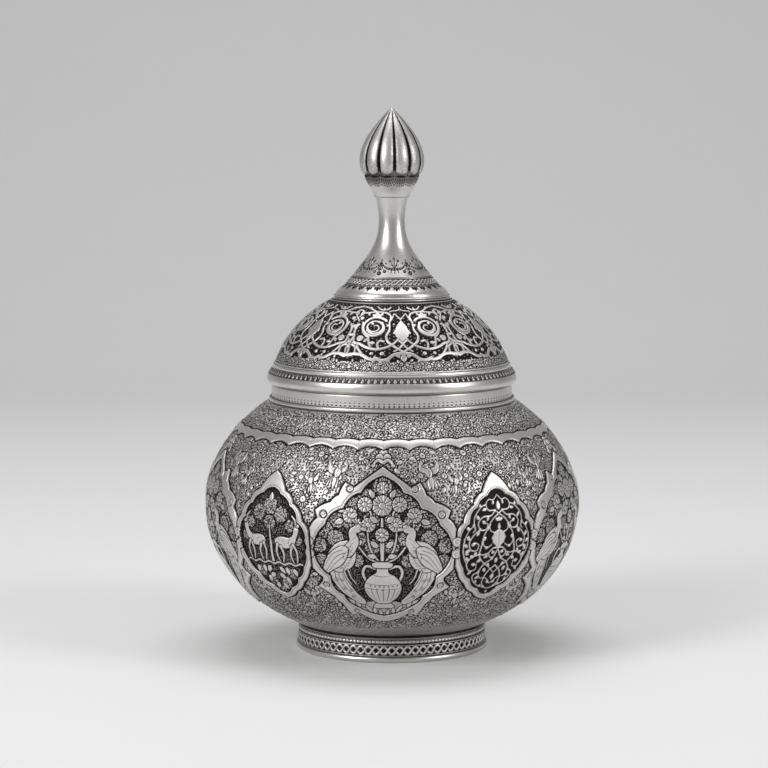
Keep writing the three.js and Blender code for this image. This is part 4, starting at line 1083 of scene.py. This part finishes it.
# Straps on the right of a kite-shaped leaf, each with its half width
STRAPS = (
    (0.45, [(0, 6.1), (1.8, 8.4), (3.2, 9.9), (4.4, 6.7), (5.8, 4.2)]),
    (0.58, [(5.8, 4.2), (5.6, 1.6), (5.8, -0.8), (7.0, -4.1), (6.2, -7.2), (4.4, -9.1), (2.6, -10.8),
            (0, -12.9)]),
    (0.45, [(1.8, -5.8), (3.6, -8.0), (5.4, -9.8), (8.0, -10.9)]),
    (0.45, [(0, -8.4), (1.8, -11.1), (3.6, -12.4)]), (0.45, [(2.2, -6.0), (0, -8.4)]),
    (0.63, [(18.1, -8.6), (15.0, -10.4), (10.8, -11.5), (7.0, -10.5), (4.4, -9.0)]),
    (0.53, [(14.8, -5.2), (14.2, -8.0), (13.3, -10.8)]),
    (0.53, [(10.2, -10.5), (10.6, -8.3), (9.5, -6.8), (8.0, -7.2)]),
    (0.63, [(20.6, 2.5), (21.9, 0.0), (21.5, -4.1), (20.9, -7.7), (18.1, -8.6)]),
    (0.58, [(19.1, 3.9), (18.4, -0.2), (16.8, -3.2), (14.7, -5.0)]),
    (0.63, [(20.4, 10.3), (17.3, 10.6), (14.2, 11.1), (9.0, 11.0), (6.2, 9.9), (5.0, 7.8), (5.4, 5.2)]),
    (0.58, [(13.4, 15.3), (11.6, 13.5), (9.0, 12.8), (6.7, 13.4), (5.2, 14.8)]),
    (0.63, [(22.6, 15.3), (18.3, 14.2), (15.2, 12.5), (12.6, 11.1)]),
    (0.48, [(0, 15.3), (0.1, 13.4), (2.3, 12.3), (4.6, 12.0), (5.9, 11.4)]),
    (0.53, [(24.4, -5.2), (23.2, -8.6), (23.5, -11.9), (22.7, -15.0), (21.2, -15.0), (19.5, -13.6),
            (19.7, -10.5), (21.7, -9.1), (23.2, -10.5)]),
    (0.53, [(24.4, -3.6), (23.5, -6.4), (21.4, -8.6)]),
    (0.53, [(24.4, 4.6), (22.6, 7.0), (20.4, 10.3), (22.4, 12.6), (24.4, 11.2)]),
    (0.53, [(16.5, -13.8), (18.6, -10.8), (19.1, -9.1)]),
    (0.78, [(24.4, -14.2), (22.4, -14.7), (19.9, -14.0), (16.5, -14.3), (13.9, -16.1), (11.6, -16.8),
            (10.6, -16.1), (9.0, -17.0), (6.5, -16.6), (4.4, -14.7), (2.3, -13.6), (0, -13.8)]))
STRAP_LEAVES = (
    (12.6, 7.4, 3.6, 1.6, 0), (12.2, 7.6, 3.2, 1.0, -0.9), (13.0, 7.6, 3.2, 1.0, 0.9),
    (14.6, 4.2, 2.2, 0.8, -2.6),
    (8.4, 3.4, 2.4, 0.8, 1.4), (16.6, -1.0, 2.4, 0.8, -1.6), (11.6, -8.2, 2.4, 0.8, 1.4),
    (16.4, -7.6, 2.4, 0.8, -0.6), (21.6, 0.4, 2.6, 0.9, 0.7), (22.0, -3.6, 2.4, 0.8, 1.6),
    (16.6, 13.2, 2.4, 0.8, 0.6), (8.8, 12.8, 2.2, 0.7, 0.1), (2.6, -13.6, 2.4, 0.9, 3.6),
    (0, -14.2, 3.6, 1.2, 3.14), (6.6, -16.4, 2.2, 0.8, 3.6), (24.2, -1.0, 4.4, 1.3, 0),
    (24.2, 8.0, 3.4, 1.1, 0), (9.4, 10.6, 2.4, 0.8, 2.7),
    (17.6, 10.6, 2.4, 0.8, 3.4), (5.6, 1.6, 2.2, 0.7, 1.0))
STRAP_KNOTS = ((18.4, -5.6, 1.6), (20.4, 6.6, 1.2), (8.4, -13.6, 0.9), (12.6, -13.6, 0.8), (3.6, 2.9, 0.6))


def strapwork(across, y):
    """One sixth of the dome's straps: a kite-shaped leaf, a ring beside it and what ties them."""
    x = np.abs(across)
    kite = polygon(x, y, [(0, 6.1), (1.5, 3.6), (2.7, 1.6), (3.3, -0.6), (4.4, -2.4), (3.2, -3.4),
                          (2.7, -4.7), (1.2, -6.4), (0, -7.8), (-1, -7.8), (-1, 6.1)])
    kite += 0.22 * np.abs(np.sin(2.3 * y))
    ring = 12.6, 1.0
    return union([kite, union(stroke(x, y, curve(pts, 3), half) for half, pts in STRAPS),
                  stroke(x, y, spiral(*ring, 6.8, 3.9, -0.9, 1.05, 30), 0.8, 0.6),
                  np.abs(disc(x, y, *ring, 3.8)) - 0.55,
                  stroke(x, y, spiral(*ring, 3.6, 0.9, 1.6, 0.8, 16), 0.6, 0.4),
                  leaves(x, y, STRAP_LEAVES), discs(x, y, STRAP_KNOTS)])


def dome_arc(foot_r, foot_z, seat_r, seat_z, n):
    """Arc from the dome's foot to its seat, a little fuller than a circle."""
    rise = seat_z - foot_z
    centre = (foot_z + seat_z - (foot_r ** 2 - seat_r ** 2) / rise) / 2
    t = np.sin(np.linspace(0, np.pi / 2, n))
    z = foot_z + rise * t
    r = np.sqrt(foot_r ** 2 + (foot_z - centre) ** 2 - (z - centre) ** 2) + 0.45 * np.sin(np.pi * t)
    return np.stack([r, z], 1)


def make_dome():
    work = Canvas(dome_arc(56.1, DOME_Z, 28.4, DOME_TOP - 0.05, 200), 1200, count=165)
    s, phi, _, _ = work.grids()
    full = work.everywhere()
    end = work.s[-1]
    # dense flowers below a cloud-scalloped lip, strapwork over a beaded black ground above it
    work.h[:] = np.where(s < LIP_S, -0.22, GROUND)
    work.dark[:] = np.where(s < LIP_S, 0.14, 1.0)
    work.dots(1.4, LIP_S - 0.2, 1.3, 0.3)
    beads = np.hypot((phi % 2.4 - 1.2) * 0.8, (s + np.floor(phi / 2.4) % 2) % 2.0 - 1.0) - 0.3
    work.relief(full, np.where((s > 7) & (s < end - 1.5), beads, AWAY), -0.1, 0.25, 0.4, 0)
    meadow(work, np.full_like(s, 9.0), 3.0, 7.2, 5.0, 2.0)
    for k in range(6):
        at, x, y = work.patch(6 + 60 * k, LEAF_S, 24.3, 17.6)
        work.relief(at, strapwork(x, y), 0.04, 0.4, 0.14, 0.35)
    work.relief(full, np.abs(s - end + 0.9) - 0.4, 0.04, 0.4, 0.04, 0.4)
    work.relief(full, np.maximum(s - 0.8, -s), 0.05, 0.4, 0.04, 0.4)
    work.age(2, 5, 1.6)
    canvas_object("dome_strapwork", work, "lid_dome", "lid", STRAP, parts=2)
    ceiling, bore = DOME_TOP - 1.3, 2.05
    inside = chain([(55.5, RIM_TOP), (BEZEL_BORE, RIM_TOP)], dome_arc(54.2, DOME_Z, 27.3, ceiling, 80),
                   [(bore, ceiling), (bore, DOME_TOP), (28.4, DOME_TOP)])
    plain_ring("dome_lining", inside[::-1], 240, "lid_dome", "lid", PLAIN, 0.9, loop=False)


def make_double_wire():
    wire, r, bulge = (STEM_Z - DOME_TOP) / 2, 27.2, 0.55
    t = np.linspace(0, 1, 9)
    rounds = [np.stack([r + bulge * np.sin(np.pi * t), z + wire * t], 1) for z in (DOME_TOP, DOME_TOP + wire)]
    profile = chain([(22.6, DOME_TOP), (r, DOME_TOP)], *rounds, [(r, STEM_Z), (22.6, STEM_Z)])
    plain_ring("finial_double_wire", profile, 720, "finial_base_ring", "lid", POLISHED,
               0.16, creases=[(r, DOME_TOP), (r, DOME_TOP + wire), (r, STEM_Z)], width=0.42)


def chase_fringe(work, phi, r, z):
    """Spikes that hang from the lines on the skirt, long and short by turns."""
    pitch, top = 11.25, 174.6
    one_degree = np.radians(1.0) * r
    x = ((phi + 180) % pitch - pitch / 2) * one_degree
    short = leaf(np.abs(x) - 5.6 * one_degree * 0.5, top - z, 1.3, 0.5, 0)
    work.cut(work.everywhere(), np.minimum(leaf(x, top - z, 1.9, 0.7, 0), short), 0.14, 0.2, 1.0)


def chase_plait(work, phi, z):
    """Plait of three strands, of which the rising ones lie on top."""
    on_plait = (z > 175.3) & (z < 177.9)
    work.dark = np.where(on_plait, 1.0, work.dark)
    work.h = np.where(on_plait, -0.18, work.h)
    for rising in (False, True):
        for strand in range(3):
            turned = np.radians(17 * phi + 120 * strand)
            field = np.abs((z - 176.6) * 0.92 - 0.85 * np.sin(turned)) * 0.87 - 0.3
            here = on_plait & ((np.cos(turned) > 0) == rising)
            work.relief(work.everywhere(), np.where(here, field, AWAY), 0.03, 0.2, 0.08, 0.3, ink=1.0)


def chase_festoons(work, z):
    """Seven hatched swags, with sprays of blossoms over them and between them."""
    along = float(np.interp(182.6, work.p[:, 1], work.s))
    end = math.pi / 7 * float(np.interp(along, work.s, work.p[:, 0]))       # from a swag's middle to its end
    stalks = ([(0, 0.4), (0, 4.2)], [(0.2, 0.6), (1.2, 2.6), (2.1, 3.4)], [(end, 3.2), (end, -1.0)],
              [(end, 3.0), (end - 0.9, 0.8), (end - 2.2, -0.4)], [(end, 3.4), (end - 0.3, 4.6)],
              [(0, -1.0), (0, -1.7)], [(1.5, -0.8), (1.7, -1.4)])
    for k in range(7):
        at, across, _ = work.patch(4.8 + 360 * k / 7, along, end + 1.2, 9)
        x, y = np.abs(across), z[at] - 182.4
        swag = stroke(x, y, curve([(0, 0), (0.4 * end, 0.3), (0.74 * end, 1.5), (end, 3.4)]), 0.65, 0.3)
        shapes = [np.maximum(swag, 0.1 - np.abs((x * 0.8 + y * 0.5) % 1.1 - 0.55))]
        shapes += [stroke(x, y, curve(pts, 3), 0.18) for pts in stalks]
        for cx, cy, r in ((0, 4.8, 0.85), (2.15, 3.9, 0.7), (end, -1.7, 0.95), (end - 2.5, -0.9, 0.75)):
            shapes.append(np.maximum(disc(x, y, cx, cy, r), -disc(x, y, cx, cy, r * 0.25)))
        sprigs = ((0.6, 1.4, 0.9), (end - 0.5, 2.0, 3.6), (end, 0.6, -2.4), (0.6 * end, 2.2, 0.5))
        shapes.append(leaves(x, y, [(lx, ly, 1.4, 0.36, turn) for lx, ly, turn in sprigs]))
        work.cut(at, union(shapes), 0.12, 0.2, 1.0)


def make_stem():
    profile = chain(bezier((26.8, STEM_Z), (26.8, 171.8), (24.2, 173.2), (22.6, SKIRT_Z), 24),
                    bezier((22.6, SKIRT_Z), (10.1, 189.2), (6.2, 194.2), (6.2, NECK_Z), 120)[1:],
                    bezier((6.2, NECK_Z), (6.2, 209.0), (7.0, 213.1), (7.6, CALYX_Z), 30)[1:])
    work = Canvas(profile, 660, count=300)
    _, phi, r, z = work.grids()
    chase_fringe(work, phi, r, z)
    for z0 in (174.6, 175.15, 178.0, 178.55):
        work.cut(work.everywhere(), np.abs(z - z0) - 0.18, 0.12, 0.2, 1.0)
    chase_plait(work, phi, z)
    chase_festoons(work, z)
    canvas_object("stem_chased_trumpet", work, "finial_stem", "lid", POLISHED, parts=2)


def make_calyx():
    profile = chain([(7.6, CALYX_Z), (8.1, CALYX_Z + 0.05), (8.45, CALYX_Z + 0.4)],
                    bezier((8.5, CALYX_Z + 0.7), (8.9, CALYX_Z + 3.2), (12.4, CALYX_Z + 7.0),
                           (13.05, BUD_Z - 0.1), 40))
    work = Canvas(profile, 720, step=0.16)
    _, phi, r, z = work.grids()
    # rows of short strokes that hang from the bud's lobes and fade out downwards
    tall = 1.5
    lobe = np.abs((phi - BUD_TURN + 15) % 30 - 15)      # nothing under a lobe's middle, 15 under a groove
    below = BUD_Z - z + 0.9 * (lobe / 15) ** 2
    row = np.floor(below / tall)
    along = (lobe * np.radians(1.0) * r + 0.45 * (row % 2)) % 0.9 - 0.45
    marks = np.maximum(np.abs(along) - 0.3 + 0.03 * row, np.abs(below - tall * row - 0.7) - 0.62)
    hatched = smooth((5.6 - below) / 1.2) > 0.1
    work.cut(work.everywhere(), np.where(hatched, marks, AWAY), 0.1, 0.2, 0.95)
    # painted shade under the bud, deepest right under it, and in the crease at the calyx's foot
    work.dark = np.maximum(work.dark, 0.66 * smooth((5.8 - below) / 3.4) + 0.34 * smooth(1.3 - below))
    work.dark = np.maximum(work.dark, 0.3 * smooth(1 - np.abs(z - CALYX_Z - 0.25) / 0.4))
    canvas_object("calyx_hatched_cup", work, "finial_calyx", "lid", POLISHED)


def make_bud():
    """Twelve plump lobes with grooves darkened by painted shade, drawn to a point with a tiny tip."""
    core, widest, swell = 12.9, 15.5, BUD_Z + 6.9
    phi = np.linspace(-180, 180, 480, endpoint=False)
    side = ((phi - BUD_TURN + 15) % 30) / 15 - 1
    turn = np.linspace(0, np.pi / 2, 30)
    round_end = np.stack([core + (widest - core) * np.sin(turn), swell - 6.5 * np.cos(turn)], 1)
    taper = bezier((widest, swell), (widest, swell + 7.3), (10.2, swell + 15.3), (0.95, BUD_TOP), 90)[1:]
    tip = [(0.62, BUD_TOP + 0.15), (0.45, BUD_TOP + 0.8), (0.3, BUD_TOP + 1.4), (0.02, BUD_TOP + 1.55)]
    profile, _ = resample(chain([(core, BUD_Z), (core, BUD_Z + 0.4)], round_end, taper, tip), 150)
    r0, z0 = profile[:, :1], profile[:, 1:]
    depth = 1.75 * smooth((z0 - BUD_Z - 0.3) / 3.0) * np.clip(r0 / widest, 0, 1) ** 0.9 * (z0 < BUD_TOP)
    cusp = 2.1 * (1 - smooth((z0 - BUD_Z - 0.4) / 6.5)) * (z0 > BUD_Z + 0.3)
    r = r0 - depth * (1 - np.sqrt(np.clip(1 - side ** 2, 0, 1)))
    z = z0 + cusp * side ** 2
    angle = np.radians(phi)
    pts = np.stack([r * np.sin(angle), -r * np.cos(angle), z], 2)
    # painted shade in the grooves between lobes and under the bud's rounded foot
    dark = np.clip(smooth((np.abs(side) - 0.68) / 0.18) * (depth > 0.05) * 0.95, 0, 1)
    dark = np.maximum(dark, 0.62 * (1 - smooth((z0 - BUD_Z - 0.2) / 0.9)))
    grid_object("bud_gadroons", pts, "finial_bud", "lid", BRUSHED,
                {"patina_and_shade": dark, "matting": np.full_like(r, 0.15)}, normals_of(pts))


make_bowl()
make_bowl_inside()
make_foot()
make_neck()
make_lid_rim()
make_bezel_and_bead()
make_dome()
make_double_wire()
make_stem()
make_calyx()
make_bud()


# Studio, in metres
PAPER, AIR = (0.80, 0.80, 0.80), (0.8, 0.8, 0.8, 1)


def paper():
    k = Nodes("pale_paper")
    k.set("Base Color", k.mix(k.noise(k.coord, 9, 3), tuple(c * 0.985 for c in PAPER), PAPER))
    k.set("Roughness", 0.9)
    k.set("Specular IOR Level", 0.15)
    return k.mat


def sweep():
    """Pale floor that curves up behind into a backdrop."""
    front, half, bend, bend_r, top = -4.5, 4.5, 1.1, 0.9, 2.6
    run = chain([(front, 0), (bend, 0)], ellipse(bend_r, bend_r, bend_r, -np.pi / 2, 0, 24) + (bend, 0),
                [(bend + bend_r, top)])
    verts = [(x, y, z) for y, z in run for x in (-half, half)]
    faces = [(2 * i, 2 * i + 1, 2 * i + 3, 2 * i + 2) for i in range(len(run) - 1)]
    mesh = bpy.data.meshes.new("studio_sweep")
    mesh.from_pydata(verts, [], faces)
    mesh.shade_smooth()
    mesh.materials.append(paper())
    floor = bpy.data.objects.new("studio_sweep", mesh)
    bpy.context.scene.collection.objects.link(floor)


def lamp(name, place, target, size, power, spread=180):
    data = bpy.data.lights.new(name, "AREA")
    data.shape, data.size, data.size_y, data.energy = "RECTANGLE", size[0], size[1], power
    data.spread = math.radians(spread)
    obj = bpy.data.objects.new(name, data)
    obj.location = place
    obj.rotation_euler = (Vector(target) - Vector(place)).to_track_quat("-Z", "Y").to_euler()
    bpy.context.scene.collection.objects.link(obj)


def camera():
    data = bpy.data.cameras.new("photo_camera")
    data.sensor_width, data.lens, data.shift_x = 36, 132.95, -0.01016
    obj = bpy.data.objects.new("photo_camera", data)
    obj.location = (0, -1.35, 0.27227)
    obj.rotation_euler = (math.radians(90 - 6.164636), 0, 0)
    bpy.context.scene.collection.objects.link(obj)
    bpy.context.scene.camera = obj


def air():
    world = bpy.data.worlds.new("studio_air")
    world.use_nodes = True
    background = world.node_tree.nodes["Background"].inputs
    background["Color"].default_value = AIR
    background["Strength"].default_value = 0.45
    bpy.context.scene.world = world


sweep()
lamp("left_softbox", (-1.3, -1.1, 0.95), (0, 0, 0.12), (0.7, 1.1), 8.2, 120)
lamp("right_softbox", (1.35, -0.7, 0.8), (0, 0, 0.12), (0.5, 1.1), 4.4, 120)
lamp("top_softbox", (0, 0.2, 1.6), (0, 0, 0.1), (1.2, 0.9), 9.5)
air()
camera()
bpy.context.scene.view_settings.view_transform = "Standard"
